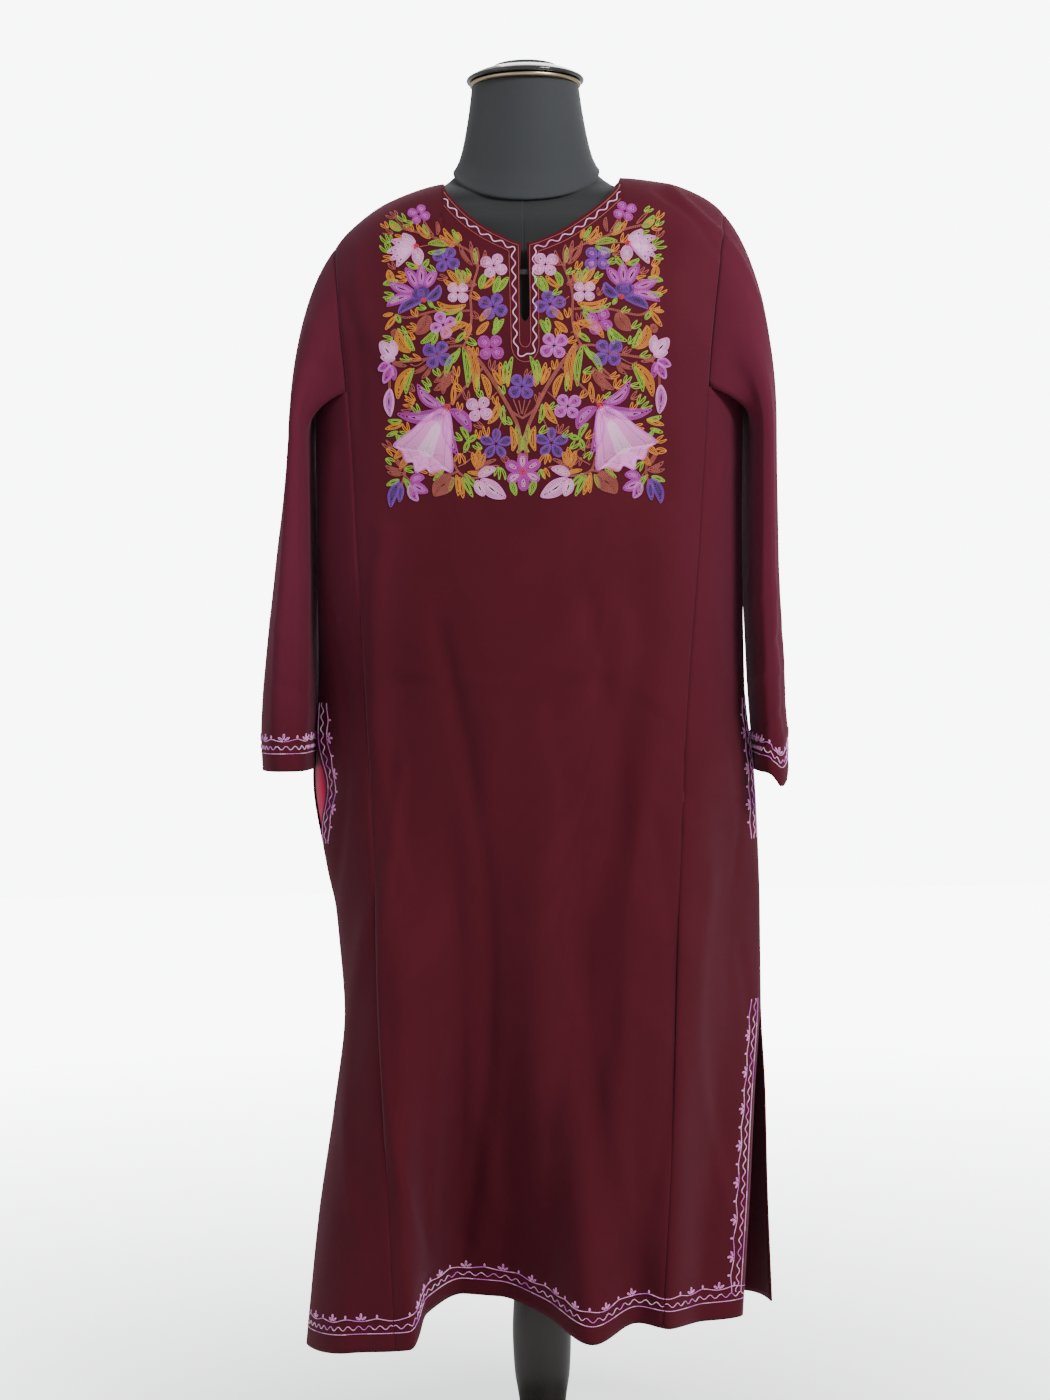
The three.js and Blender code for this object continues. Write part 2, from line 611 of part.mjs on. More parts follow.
// A pocket bag: a flat pouch open at the side seam, its rings set inside the front gore.
function pocketBag(side) {
  const outer = [];
  const inner = [];
  for (let i = 0; i <= POCKET.rings; i++) {
    const depth = i / POCKET.rings;
    outer.push(pocketRing(side, depth, 0));
    inner.push(pocketRing(side, i === POCKET.rings ? 0.97 : depth, LINING));
  }
  const positions = [outer, inner].flat(2).flatMap((point) => point.toArray());
  const count = POCKET.sides;
  const size = outer.length * count;
  const at = (layer, i, j) => layer * size + i * count + (j % count);
  const faces = [];
  const quad = (a, b, c, d) => faces.push(a, b, c, a, c, d);
  for (let i = 0; i < outer.length - 1; i++) {
    for (let j = 0; j < count; j++) {
      quad(at(0, i, j), at(0, i + 1, j), at(0, i + 1, j + 1), at(0, i, j + 1));
      quad(at(1, i, j), at(1, i, j + 1), at(1, i + 1, j + 1), at(1, i + 1, j));
    }
  }
  for (let j = 0; j < count; j++) quad(at(0, 0, j), at(0, 0, j + 1), at(1, 0, j + 1), at(1, 0, j));
  const lastRing = outer.length - 1;
  for (let j = 1; j < count - 1; j++) {
    faces.push(at(0, lastRing, 0), at(0, lastRing, j + 1), at(0, lastRing, j));
    faces.push(at(1, lastRing, 0), at(1, lastRing, j), at(1, lastRing, j + 1));
  }
  return facingOut(positions, faces);
}

// The slit as a narrow drop shape that is cut through the front panel.
function slitCutter() {
  const shape = new THREE.Shape();
  shape.moveTo(SLIT.x - SLIT.halfMouth, SLIT.top);
  shape.lineTo(SLIT.x - SLIT.halfWide, SLIT.wide + 24);
  shape.lineTo(SLIT.x - SLIT.halfWide, SLIT.wide);
  shape.lineTo(SLIT.x - SLIT.halfWide / 2, SLIT.bottom);
  shape.lineTo(SLIT.x + SLIT.halfWide / 2, SLIT.bottom);
  shape.lineTo(SLIT.x + SLIT.halfWide, SLIT.wide);
  shape.lineTo(SLIT.x + SLIT.halfWide, SLIT.wide + 24);
  shape.lineTo(SLIT.x + SLIT.halfMouth, SLIT.top);
  const reach = 90;
  const geometry = new THREE.ExtrudeGeometry(shape, { depth: reach, bevelEnabled: false });
  geometry.rotateX(Math.PI / 2);
  geometry.translate(0, -50, 0);
  return geometry;
}

function toSolid(geometry) {
  const bare = geometry.clone();
  bare.deleteAttribute("normal");
  bare.deleteAttribute("uv");
  const merged = mergeVertices(bare, 1e-3);
  return new wasm.Manifold(
    new wasm.Mesh({
      numProp: 3,
      vertProperties: new Float32Array(merged.attributes.position.array),
      triVerts: new Uint32Array(merged.index.array),
    }),
  );
}

function cutAway(geometry, cutter) {
  const mesh = toSolid(geometry).subtract(toSolid(cutter)).getMesh();
  const cut = new THREE.BufferGeometry();
  cut.setAttribute("position", new THREE.BufferAttribute(mesh.vertProperties, 3));
  cut.setIndex(new THREE.BufferAttribute(mesh.triVerts, 1));
  cut.computeVertexNormals();
  return cut;
}

// The hook bar that bridges the slit just inside the panel.
function hookBar() {
  const inside = yokePoint(FRONT, 0.5, alongOf(FRONT, ridge(HOOK.x) - HOOK.height));
  const geometry = new THREE.BoxGeometry(HOOK.width, HOOK.thick, HOOK.rise);
  geometry.translate(HOOK.x, inside.y + CLOTH + HOOK.thick / 2 + 1.4, HOOK.height);
  return geometry;
}

const finishes = {
  wool: { color: 0x4d1420, roughness: 0.9, metalness: 0 },
  lining: { color: 0xc22446, roughness: 0.85, metalness: 0 },
  formCloth: { color: 0x202225, roughness: 0.85, metalness: 0 },
  lacquer: { color: 0x0c0c0e, roughness: 0.15, metalness: 0 },
  brass: { color: 0x9b8055, roughness: 0.3, metalness: 1 },
  darkWood: { color: 0x14100e, roughness: 0.4, metalness: 0 },
};

const pheran = new THREE.Group();
function add(name, geometry, finish) {
  const mesh = new THREE.Mesh(geometry, new THREE.MeshStandardMaterial(finishes[finish]));
  mesh.name = name;
  pheran.add(mesh);
}

const panels = { front: panelGrid(FRONT), back: panelGrid(BACK) };
add("front_panel", cutAway(wall(panels.front, CLOTH), slitCutter()), "wool");
add("back_panel", wall(panels.back, CLOTH), "wool");
for (const [name, side] of [["left", -1], ["right", 1]]) {
  const gores = { front: goreGrid(FRONT, side), back: goreGrid(BACK, side) };
  add("front_gore_" + name, wall(gores.front, CLOTH), "wool");
  add("back_gore_" + name, wall(gores.back, CLOTH), "wool");
  add("sleeve_" + name, wall(sleeveGrid(side, panels, gores), CLOTH, true), "wool");
  add("pocket_bag_" + name, pocketBag(side), "lining");
}
add("neck_hook", hookBar(), "brass");
add("form_torso", ringSolid(TORSO.map(formRing)), "formCloth");
add("form_neck", ringSolid(NECK.map(formRing)), "formCloth");
add("cap_ring", turned(CAP_RING), "brass");
add("neck_cap", turned(CAP), "lacquer");
add("stand_column", turned(COLUMN), "darkWood");
add("stand_base", turned(BASE), "darkWood");

export default pheran;
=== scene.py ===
"""The look of a pheran, a long wool tunic with chain-stitched flowers, on a limbless dress form.

Run as a script in Blender 4.5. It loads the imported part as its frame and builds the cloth, the
stitching and the form around it, in metres, in the frame's own axes: the front faces -Y.
"""

import math

import bmesh
import bpy
import numpy as np
from mathutils import Matrix, Vector
from mathutils.bvhtree import BVHTree


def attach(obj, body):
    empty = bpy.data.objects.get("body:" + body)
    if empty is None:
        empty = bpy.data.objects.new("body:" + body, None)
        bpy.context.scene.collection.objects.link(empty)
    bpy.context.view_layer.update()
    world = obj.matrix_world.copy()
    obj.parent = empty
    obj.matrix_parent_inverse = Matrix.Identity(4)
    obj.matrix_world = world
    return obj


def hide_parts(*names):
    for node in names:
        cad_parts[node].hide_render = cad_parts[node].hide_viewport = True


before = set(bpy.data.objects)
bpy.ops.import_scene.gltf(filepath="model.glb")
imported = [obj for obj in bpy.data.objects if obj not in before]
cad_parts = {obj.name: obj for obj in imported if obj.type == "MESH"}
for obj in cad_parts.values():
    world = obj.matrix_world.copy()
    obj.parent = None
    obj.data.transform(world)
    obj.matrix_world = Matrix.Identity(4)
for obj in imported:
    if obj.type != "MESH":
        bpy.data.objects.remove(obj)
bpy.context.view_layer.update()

bl_info = {
    "name": "Pheran on a dress form",
    "version": (1, 0, 0),
    "blender": (4, 5, 0),
    "location": "View3D > Sidebar > Pheran",
    "description": "Builds a chain-stitched wool tunic on a turned dress form",
    "category": "Object",
}

MM = 0.001


def table(columns, *rows):
    """A table with named columns, as arrays by column name."""
    return {name: np.array([row[i] for row in rows], float) for i, name in enumerate(columns.split())}


# Heights of the garment's main lines in millimetres
UNDERARM = 1150
WAIST = 850
KNEE = 560
HEM = 160
# Roundness at the sides, the knee's folds left at the waist, and how near the side the sheets part
SIDE_POWER = 0.385
WAIST_SHARE = 0.35
PART_POWER = 12
# The gap between a sleeve and the body, and how far a gore reaches over its panel
SEAM_GAP = 0.3
SEAM_LAP = 1.2

# The body's outline: reach of each sheet, its depth in the middle, and how far the sheets part
OUTLINE = table(
    "height front_left front_right back_left back_right front back part_left part_right",
    (160, 250, 213, 242, 253, 140, 136, 42, 45),
    (290, 236, 223, 232, 248, 138, 134, 26, 30),
    (400, 219, 231, 218, 245, 136, 132, 11, 13),
    (500, 206, 239, 206, 240, 134, 131, 0.15, 0.15),
    (600, 213, 240, 213, 240, 133, 130, 0.15, 0.15),
    (655, 224, 239, 224, 239, 132, 130, 0.15, 0.15),
    (745, 238, 235, 238, 235, 131, 129, 11, 5),
    (845, 230, 226, 230, 226, 130, 126, 0.15, 0.15),
    (1000, 228, 225, 228, 225, 130, 119, 0.15, 0.15),
    (1150, 227, 227, 227, 227, 129, 113, 0.15, 0.15),
    (1200, 227, 227, 227, 227, 127, 112, 0, 0),
    (1250, 228, 230, 228, 230, 112, 110, 0, 0),
    (1300, 230, 234, 230, 234, 96, 102, 0, 0),
    (1385, 232, 238, 232, 238, 88, 92, 0, 0),
)

# The folds of each sheet at the knee and at the hem, from its left edge (0) to its right (1)
FRONT_FOLDS = table(
    "at knee_x knee_y hem_x hem_y hem_height",
    (0, -209, 0, -250, 0, 150),
    (0.12, -196, -72, -200, -100, 160),
    (0.24, -150, -130, -136, -136, 168),
    (0.31, -112, -121, -120, -66, 186),
    (0.4, -74, -108, -82, -20, 194),
    (0.47, -36, -120, -45, -24, 192),
    (0.56, 6, -136, 4, -62, 181),
    (0.67, 50, -118, 54, -124, 167),
    (0.76, 92, -136, 97, -84, 178),
    (0.84, 148, -118, 132, -92, 176),
    (0.93, 203, -50, 165, -34, 174),
    (1, 240, 0, 198, 0, 174),
)
BACK_FOLDS = table(
    "at knee_x knee_y hem_x hem_y hem_height",
    (0, -209, 0, -242, 0, 163),
    (0.14, -190, 74, -212, 98, 159),
    (0.26, -140, 128, -152, 140, 156),
    (0.38, -78, 116, -92, 88, 168),
    (0.5, -6, 136, -8, 144, 157),
    (0.62, 70, 119, 64, 96, 168),
    (0.74, 138, 130, 132, 144, 156),
    (0.86, 205, 84, 208, 104, 159),
    (1, 240, 0, 253, 0, 164),
)

# Seams between panels and gores, the shoulder ridge, and the neckline in front and behind
SEAMS = table(
    "height left right",
    (160, 152, 126),
    (400, 160, 140),
    (600, 166, 147),
    (800, 174, 158),
    (1000, 182, 175),
    (1150, 190, 186),
    (1250, 199, 197),
    (1340, 207, 208),
)
RIDGE = table(
    "x height",
    (-232, 1262),
    (-211, 1300),
    (-190, 1327),
    (-146, 1358),
    (-88, 1376),
    (5, 1383),
    (99, 1380),
    (148, 1374),
    (185, 1360),
    (212, 1338),
    (238, 1294),
)
FRONT_NECK = table(
    "x height",
    (-88, 1376),
    (-84, 1361),
    (-76, 1348),
    (-56, 1326),
    (-30, 1309),
    (-4, 1299),
    (28, 1309),
    (56, 1326),
    (82, 1348),
    (93, 1362),
    (99, 1380),
)
BACK_NECK = table("x height", (-88, 1376), (-60, 1366), (5, 1361), (70, 1368), (99, 1380))
NECK_POINTS = (-88, 99)
NECK_CROWDING = 0.8
SLIT = {"x": -4, "top": 1310, "wide": 1225, "bottom": 1216, "half_mouth": 2.2, "half_wide": 4.6}

# Rings of each sleeve: reach inside and outside, and to the front and back
SLEEVES = {
    -1: table(
        "height inner outer front back",
        (757, 236, 290, 71, 70),
        (790, 235, 291, 72, 70),
        (830, 232, 289, 74, 72),
        (890, 232, 283, 76, 74),
        (960, 230.5, 274, 78, 78),
        (1040, 230.5, 264, 82, 80),
        (1105, 231, 256, 88, 84),
    ),
    1: table(
        "height inner outer front back",
        (750, 235, 271, 72, 71),
        (790, 234, 270, 73, 72),
        (830, 233, 268, 75, 74),
        (890, 231, 266, 78, 76),
        (960, 229.5, 263, 80, 78),
        (1040, 230, 262, 84, 80),
        (1105, 231, 261, 88, 84),
    ),
}
# A sleeve's fan: its square inner edge, its ways from underarm and shoulder, its stiffness and ease
SLEEVE_FAN = {
    "square": 0.45,
    "under": (0.7, -0.6),
    "over": (-0.12, -0.45, -0.75),
    "pull": 0.9,
    "ease": {-1: 4.4, 1: 3.6},
}
# The pocket bags: the mouth's heights, how deep they go and hang, how far in they lie, and how thick
POCKET = {"top": 830, "bottom": 672, "depth": 0.15, "drop": 60, "lower": 12, "inset": 7, "thick": 9}
# Closer to the middle than this, in metres, a pocket bag's rim is at its closed end
POCKET_DEEP = 0.222
# The front of the right cuff, which sags and turns up at its outer corner
CUFF_TURN = {
    "height": 750,
    "reach": 76,
    "inner": 236,
    "width": 36,
    "sag": 15,
    "sag_at": 0.62,
    "sag_width": 0.26,
    "rise": 13,
    "rise_from": 0.8,
    "rise_width": 0.2,
    "front": 30,
}
# Where the front sheet lies flatter beside the left pocket, and how much
POCKET_FLAT = {"low": 650, "high": 880, "soft": 60, "more": 0.62, "spread": 1.6}
# How far the front edge of the left pocket mouth is pulled in, at which height, and how far round
MOUTH_PULL = {"far": 15, "height": 738, "half": 36, "reach": 45}

# How far from the top row, the side seam and the armhole the creases begin
CALM = {"rows": 8, "side": 14, "armhole": 22}

# How finely the cloth is laid out: rows above and below the underarm, columns of each zone
YOKE_ROWS = 96
SKIRT_ROWS = 156
SHOULDER_COLUMNS = 26
NECK_COLUMNS = 32
GORE_COLUMNS = 36
ARMHOLE_STRIDE = 3
FAN_ROWS = 36
ARM_ROWS = 110


def hermite(start, start_slope, end, end_slope, t):
    """A smooth curve between two values, with its slope at each."""
    return (
        start * (1 + 2 * t) * (1 - t) ** 2
        + start_slope * t * (1 - t) ** 2
        + end * t * t * (3 - 2 * t)
        + end_slope * t * t * (t - 1)
    )


def read(keys, values, at):
    """Smooth curve through values at rising keys. Each value may itself be an array like at."""
    at = np.asarray(at, float)
    keys = np.asarray(keys, float)
    levels = np.stack([np.broadcast_to(np.asarray(value, float), at.shape) for value in values])
    at = np.clip(at, keys[0], keys[-1])
    index = np.clip(np.searchsorted(keys, at, side="right") - 1, 0, len(keys) - 2)
    spans = np.diff(keys)
    chords = np.diff(levels, axis=0) / spans.reshape((-1,) + (1,) * at.ndim)
    before, after = chords[:-1], chords[1:]
    same_way = before * after > 0
    total = np.where(same_way, before + after, 1)
    inner = np.where(same_way, 2 * before * after / total, 0)
    slopes = np.concatenate([chords[:1], inner, chords[-1:]])

    def pick(stack, shift=0):
        return np.take_along_axis(stack, (index + shift)[None], axis=0)[0]

    span = spans[index]
    t = (at - keys[index]) / span
    return hermite(pick(levels), pick(slopes) * span, pick(levels, 1), pick(slopes, 1) * span, t)


def hill(distance, width):
    """1 at no distance, and less on both sides over a width."""
    return np.exp(-((distance / width) ** 2))


def between(value, low, high, soft):
    """1 between two values and 0 outside, with soft ends."""
    return 0.5 * (np.tanh((value - low) / soft) - np.tanh((value - high) / soft))


def unit(vectors):
    """Vectors of length 1 with the same directions."""
    return vectors / np.maximum(np.linalg.norm(vectors, axis=-1, keepdims=True), 1e-9)


def look_up(rows, column, at, key="height"):
    return read(rows[key], rows[column], at)


def mix(a, b, t):
    return a + (b - a) * t


def outline(column, height):
    return look_up(OUTLINE, column, height)


def outline_on(side, column, height):
    """A value of the outline that differs on the left and the right."""
    return np.where(side < 0, outline(column + "_left", height), outline(column + "_right", height))


def ridge(x):
    return look_up(RIDGE, "height", x, "x")


def seam(side, height):
    """Where the seam of the front or back panel lies on each side, side being -1 or 1."""
    side = np.asarray(side)
    return np.where(side < 0, -look_up(SEAMS, "left", height), look_up(SEAMS, "right", height))


def share_at(at):
    return -np.cos(np.pi * np.asarray(at, float))


class Sheet:
    """The front or the back of the body, as a surface that cloth is laid on."""

    def __init__(self, facing, rounding, depth, folds, neck):
        self.facing = facing
        self.rounding = rounding
        self.quarter = rounding * math.pi / 2
        self.depth = depth
        self.folds = folds
        self.neck = neck
        self.extra = {}
        at = folds["at"]
        share = share_at(at)
        for level, height in (("knee", KNEE), ("hem", HEM)):
            x, y = folds[level + "_x"], folds[level + "_y"]
            heights = np.full(at.shape, float(height))
            more_share = x / self.reach(np.where(x < 0, -1, 1), heights) - share
            more_share[[0, -1]] = 0
            self.extra[level + "_share"] = more_share
            self.extra[level + "_depth"] = y - self.plain_depth(share, heights)

    def reach(self, side, height):
        return outline_on(side, self.depth, height)

    def plain_depth(self, share, height):
        """How far out the sheet is without its folds, share going from -1 to 1 across it."""
        power = SIDE_POWER
        if self.facing < 0:
            level = between(height, POCKET_FLAT["low"], POCKET_FLAT["high"], POCKET_FLAT["soft"])
            left = np.clip(-share * POCKET_FLAT["spread"], 0, 1)
            power = SIDE_POWER + POCKET_FLAT["more"] * level * left
        return self.facing * outline(self.depth, height) * np.maximum(0, 1 - share * share) ** power

    def fold_part(self, what, at, height):
        knee = read(self.folds["at"], self.extra["knee_" + what], at)
        hem = read(self.folds["at"], self.extra["hem_" + what], at)
        return read([HEM, KNEE, WAIST, UNDERARM], [hem, knee, knee * WAIST_SHARE, 0 * knee], height)

    def skirt(self, at, height):
        """Points below the underarm: across the sheet from 0 to 1, at their nominal heights."""
        at, height = np.broadcast_arrays(np.asarray(at, float), np.asarray(height, float))
        plain = share_at(at)
        share = plain + self.fold_part("share", at, height)
        side = np.where(share < 0, -1, 1)
        x = share * self.reach(side, height)
        part = outline_on(side, "part", height) * np.abs(plain) ** PART_POWER
        y = self.plain_depth(plain, height) + self.fold_part("depth", at, height) + self.facing * part
        fall = (UNDERARM - height) / (UNDERARM - HEM)
        z = height + (read(self.folds["at"], self.folds["hem_height"], at) - HEM) * fall**3
        return np.stack([x, y, z], -1)

    def across_at(self, x, height):
        """Where across the sheet the skirt has these x, at nominal heights."""
        low = np.zeros(np.shape(height))
        high = np.ones(np.shape(height))
        for _ in range(26):
            middle = (low + high) / 2
            short = self.skirt(middle, height)[..., 0] < x
            low = np.where(short, middle, low)
            high = np.where(short, high, middle)
        return (low + high) / 2

    def fall(self, along):
        """How far the cloth has come down at a distance along it from the shoulder ridge."""
        bent = self.rounding * (1 - np.cos(along / self.rounding))
        return np.where(along < self.quarter, bent, along - self.quarter + self.rounding)

    def along(self, fall):
        """The distance along the cloth at which it has come down so far."""
        bent = self.rounding * np.arccos(np.clip(1 - fall / self.rounding, -1, 1))
        return np.where(fall < self.rounding, bent, fall - self.rounding + self.quarter)

    def yoke(self, at, along):
        """Points above the underarm, a distance along the cloth down from the shoulder ridge."""
        x = yoke_x(at, np.full(np.shape(at), float(UNDERARM)))
        for _ in range(12):
            height = ridge(x) - self.fall(along)
            x = yoke_x(at, height)
        reach = self.reach(np.where(x < 0, -1, 1), height)
        over = np.where(along < self.quarter, np.sin(along / self.rounding), 1)
        return np.stack([x, self.plain_depth(x / reach, height) * over, height], -1)


def yoke_x(at, height):
    x = share_at(at) * outline("front_left", UNDERARM)
    side = np.where(x < 0, -1, 1)
    return x * seam(side, height) / seam(side, UNDERARM)


FRONT = Sheet(-1, 70, "front", FRONT_FOLDS, FRONT_NECK)
BACK = Sheet(1, 50, "back", BACK_FOLDS, BACK_NECK)


def panel_columns(sheet, height):
    """Columns of a panel as places across its sheet, in one row for each height."""
    height = np.minimum(height, UNDERARM)
    reach = float(outline("front_left", UNDERARM))

    def guide(x, side):
        scale = float(seam(side, UNDERARM)) / float(seam(side, ridge(x)))
        return math.acos(-x * scale / reach) / math.pi

    points = [guide(NECK_POINTS[0], -1), guide(SLIT["x"], -1), guide(NECK_POINTS[1], 1)]
    left = sheet.across_at(seam(-1, height), height)
    right = sheet.across_at(seam(1, height), height)
    even = np.linspace(0, 1, SHOULDER_COLUMNS + 1)
    neck = np.linspace(0, 1, NECK_COLUMNS + 1)
    crowded = mix(neck, 1 - np.cos(neck * math.pi / 2), NECK_CROWDING)
    neck_left = mix(points[0], points[1], crowded)
    neck_right = mix(points[2], points[1], crowded)[::-1]
    rows = []
    for a, b in zip(left, right):
        outer_left = mix(a, points[0], even)[:-1]
        outer_right = mix(points[2], b, even)[1:]
        rows.append(np.concatenate([outer_left, neck_left, neck_right, outer_right]))
    return np.array(rows)


def slit_half(height):
    """Half the width of the slit in the front at each height."""
    return read(
        [SLIT["bottom"] - 1, SLIT["bottom"], SLIT["wide"], SLIT["wide"] + 24, SLIT["top"]],
        [0, SLIT["half_wide"] / 2, SLIT["half_wide"], SLIT["half_wide"], SLIT["half_mouth"]],
        height,
    )


class Cloth:
    """A piece of cloth as a grid of outer points in millimetres, from its top row down."""

    def __init__(self, points, outward, closed=False, slit_column=None):
        self.points = points
        self.outward = outward
        self.closed = closed
        self.slit_column = slit_column
        self.measure()

    def measure(self):
        """Works out the normals, and how far each point is along its row and its column."""
        points = self.points
        if self.closed:
            ring = np.concatenate([points[:, -2:-1], points, points[:, 1:2]], axis=1)
            across = np.gradient(ring, axis=1)[:, 1:-1]
        else:
            across = np.gradient(points, axis=1)
        down = np.gradient(points, axis=0)
        normals = unit(np.cross(across, down))
        flip = np.sum(normals * self.outward, axis=-1).mean() < 0
        self.normals = -normals if flip else normals
        if self.slit_column is not None:
            pair = slice(self.slit_column, self.slit_column + 2)
            shut = np.linalg.norm(np.diff(points[:, pair], axis=1), axis=-1)[:, 0] < 1e-4
            middle = unit(self.normals[:, pair].mean(axis=1, keepdims=True))
            self.normals[:, pair] = np.where(shut[:, None, None], middle, self.normals[:, pair])
        step_across = np.linalg.norm(np.diff(points, axis=1), axis=-1)
        step_down = np.linalg.norm(np.diff(points, axis=0), axis=-1)
        self.width = np.concatenate([np.zeros((points.shape[0], 1)), np.cumsum(step_across, 1)], 1)
        self.length = np.concatenate([np.zeros((1, points.shape[1])), np.cumsum(step_down, 0)], 0)

    def push(self, amount):
        """Moves the cloth out along its normals."""
        self.points = self.points + self.normals * amount[..., None]
        self.measure()

    def sample(self, row, column):
        """Points and normals at fractional rows and columns."""
        rows, columns = self.points.shape[:2]
        row = np.clip(row, 0, rows - 1.0001)
        column = np.clip(column, 0, columns - 1.0001)
        i, j = row.astype(int), column.astype(int)
        a, b = (row - i)[..., None], (column - j)[..., None]

        def blend(grid):
            top = mix(grid[i, j], grid[i, j + 1], b)
            low = mix(grid[i + 1, j], grid[i + 1, j + 1], b)
            return mix(top, low, a)

        return blend(self.points), unit(blend(self.normals))


def panel_cloth(sheet):
    """The front or back panel, from the shoulder ridge and the neckline down to the hem."""
    heights = np.linspace(UNDERARM, HEM, SKIRT_ROWS + 1)
    skirt_columns = panel_columns(sheet, heights)
    top = skirt_columns[0]
    under_x = yoke_x(top, np.full(top.shape, float(UNDERARM)))
    under_along = sheet.along(ridge(under_x) - UNDERARM)
    top_x = yoke_x(top, ridge(under_x))
    first, last = SHOULDER_COLUMNS, SHOULDER_COLUMNS + 2 * NECK_COLUMNS + 1
    order = np.arange(len(top))
    in_neck = (order >= first) & (order <= last)
    fall = np.where(in_neck, ridge(top_x) - look_up(sheet.neck, "height", top_x, "x"), 0)
    start = np.maximum(sheet.along(np.maximum(fall, 0)), 0.6)
    share = np.arange(YOKE_ROWS)[:, None] / YOKE_ROWS
    along = mix(start, under_along, share)
    at = np.broadcast_to(top, along.shape).copy()
    middle = SHOULDER_COLUMNS + NECK_COLUMNS
    if sheet is FRONT:
        height = sheet.yoke(at, along)[:, middle, 2]
        half = slit_half(height) / (math.pi * float(outline("front_left", UNDERARM)))
        near = np.linspace(0, 1, NECK_COLUMNS + 1) ** 6
        at[:, middle - NECK_COLUMNS : middle + 1] -= half[:, None] * near
        at[:, middle + 1 : middle + 2 + NECK_COLUMNS] += half[:, None] * near[::-1]
    yoke = sheet.yoke(at, along)
    skirt = sheet.skirt(skirt_columns, heights[:, None])
    return Cloth(np.concatenate([yoke, skirt]), np.array([0, sheet.facing, 0]), slit_column=middle)


def gore_cloth(sheet, side):
    """The triangle of cloth between a panel and the side seam on one side."""
    heights = np.linspace(UNDERARM, HEM, SKIRT_ROWS + 1)
    inner = sheet.across_at(seam(side, heights), heights)
    outer = 0 if side < 0 else 1
    at = mix(inner[:, None], outer, np.linspace(0, 1, GORE_COLUMNS + 1))
    points = sheet.skirt(at, heights[:, None])
    points[:, 0] -= unit(points[:, 1] - points[:, 0]) * SEAM_LAP
    return Cloth(points, np.array([0, sheet.facing, 0]))


def cuff_turn(points):
    """How far the front of the right cuff sags and turns up again at its outer edge."""
    x, y, z = (points[..., i] for i in range(3))
    turn = CUFF_TURN
    low = np.clip(1 - (z - turn["height"]) / turn["reach"], 0, 1) ** 2
    across = (x - turn["inner"]) / turn["width"]
    sag = -turn["sag"] * hill(across - turn["sag_at"], turn["sag_width"])
    rise = turn["rise"] * np.clip((across - turn["rise_from"]) / turn["rise_width"], 0, 1)
    return low * (sag + rise) * np.clip(-y / turn["front"], 0, 1)


def sleeve_cloth(side, front, back, front_gore, back_gore):
    """A sleeve that fans out from its armhole and hangs in flat ovals down to the cuff."""
    step = ARMHOLE_STRIDE
    edge = 0 if side < 0 else -1
    loop = np.concatenate(
        [
            front.points[0 : YOKE_ROWS + 1 : step, edge],
            front_gore.points[0, step::step],
            back_gore.points[0, -1 - step : 0 : -step],
            back.points[YOKE_ROWS:0:-step, edge],
        ]
    )
    count = len(loop)
    corner = YOKE_ROWS // step
    under = 2 * (GORE_COLUMNS // step) - 1
    order = np.arange(count)
    low = (order > corner) & (order <= corner + under)
    turn = 2 * math.pi * order / count
    up_face = np.cos(turn)

    def oval(row):
        centre = (row["inner"] + row["outer"]) / 2
        half = (row["outer"] - row["inner"]) / 2
        swing = np.sin(turn)
        y = np.where(swing > 0, -row["front"] * swing, -row["back"] * swing)
        flat = np.where(up_face < 0, -(np.abs(up_face) ** SLEEVE_FAN["square"]), up_face)
        return np.stack([side * (centre + half * flat), y, np.full(count, row["height"])], -1)

    rings = SLEEVES[side]
    heights = np.linspace(rings["height"][-1], rings["height"][0], ARM_ROWS + 1)
    names = ("inner", "outer", "front", "back")
    rows = []
    for h in heights:
        rows.append(oval({"height": h, **{name: float(look_up(rings, name, h)) for name in names}}))
    end = rows[0]
    under_way = np.array([side * SLEEVE_FAN["under"][0], 0, SLEEVE_FAN["under"][1]])
    swing, drop, more_drop = SLEEVE_FAN["over"]
    down = drop + more_drop * np.maximum(0, up_face)
    over_way = np.stack([np.full(count, side), swing * np.sin(turn), down], -1)
    away = np.where(low[:, None], under_way, over_way)
    start = loop + np.where(low[:, None], np.array([0, 0, 1]), np.array([side, 0, 0])) * SEAM_GAP
    pull = np.linalg.norm(end - start, axis=-1, keepdims=True) * SLEEVE_FAN["pull"]
    first = start + unit(away) * pull / SLEEVE_FAN["ease"][side]
    second = end + np.array([0, 0, 1]) * pull / 2
    fan = [
        start * (1 - t) ** 3 + 3 * first * t * (1 - t) ** 2 + 3 * second * t * t * (1 - t) + end * t**3
        for t in np.arange(FAN_ROWS) / FAN_ROWS
    ]
    grid = np.stack(fan + rows)
    if side > 0:
        grid[..., 2] += cuff_turn(grid)
    grid = np.concatenate([grid, grid[:, :1]], axis=1)
    centre = grid[:, :-1].mean(axis=1, keepdims=True)
    return Cloth(grid, grid - centre, closed=True)


def crease_push(cloth, creases):
    """How far each point of the cloth is pushed out by a table of creases."""
    x, z = cloth.points[..., 0], cloth.points[..., 2]
    total = np.zeros(x.shape)
    for x1, z1, x2, z2, width, rise in creases:
        length = math.hypot(x2 - x1, z2 - z1)
        ux, uz = (x2 - x1) / length, (z2 - z1) / length
        along = (x - x1) * ux + (z - z1) * uz
        off = (x - x1) * uz - (z - z1) * ux
        bow = 0.06 * length * np.sin(np.pi * np.clip(along / length, 0, 1)) * (1 if rise > 0 else -1)
        beyond = np.maximum(np.maximum(-along, along - length), 0)
        total += rise * hill(off - bow, width) * hill(beyond, width * 1.6)
    return total


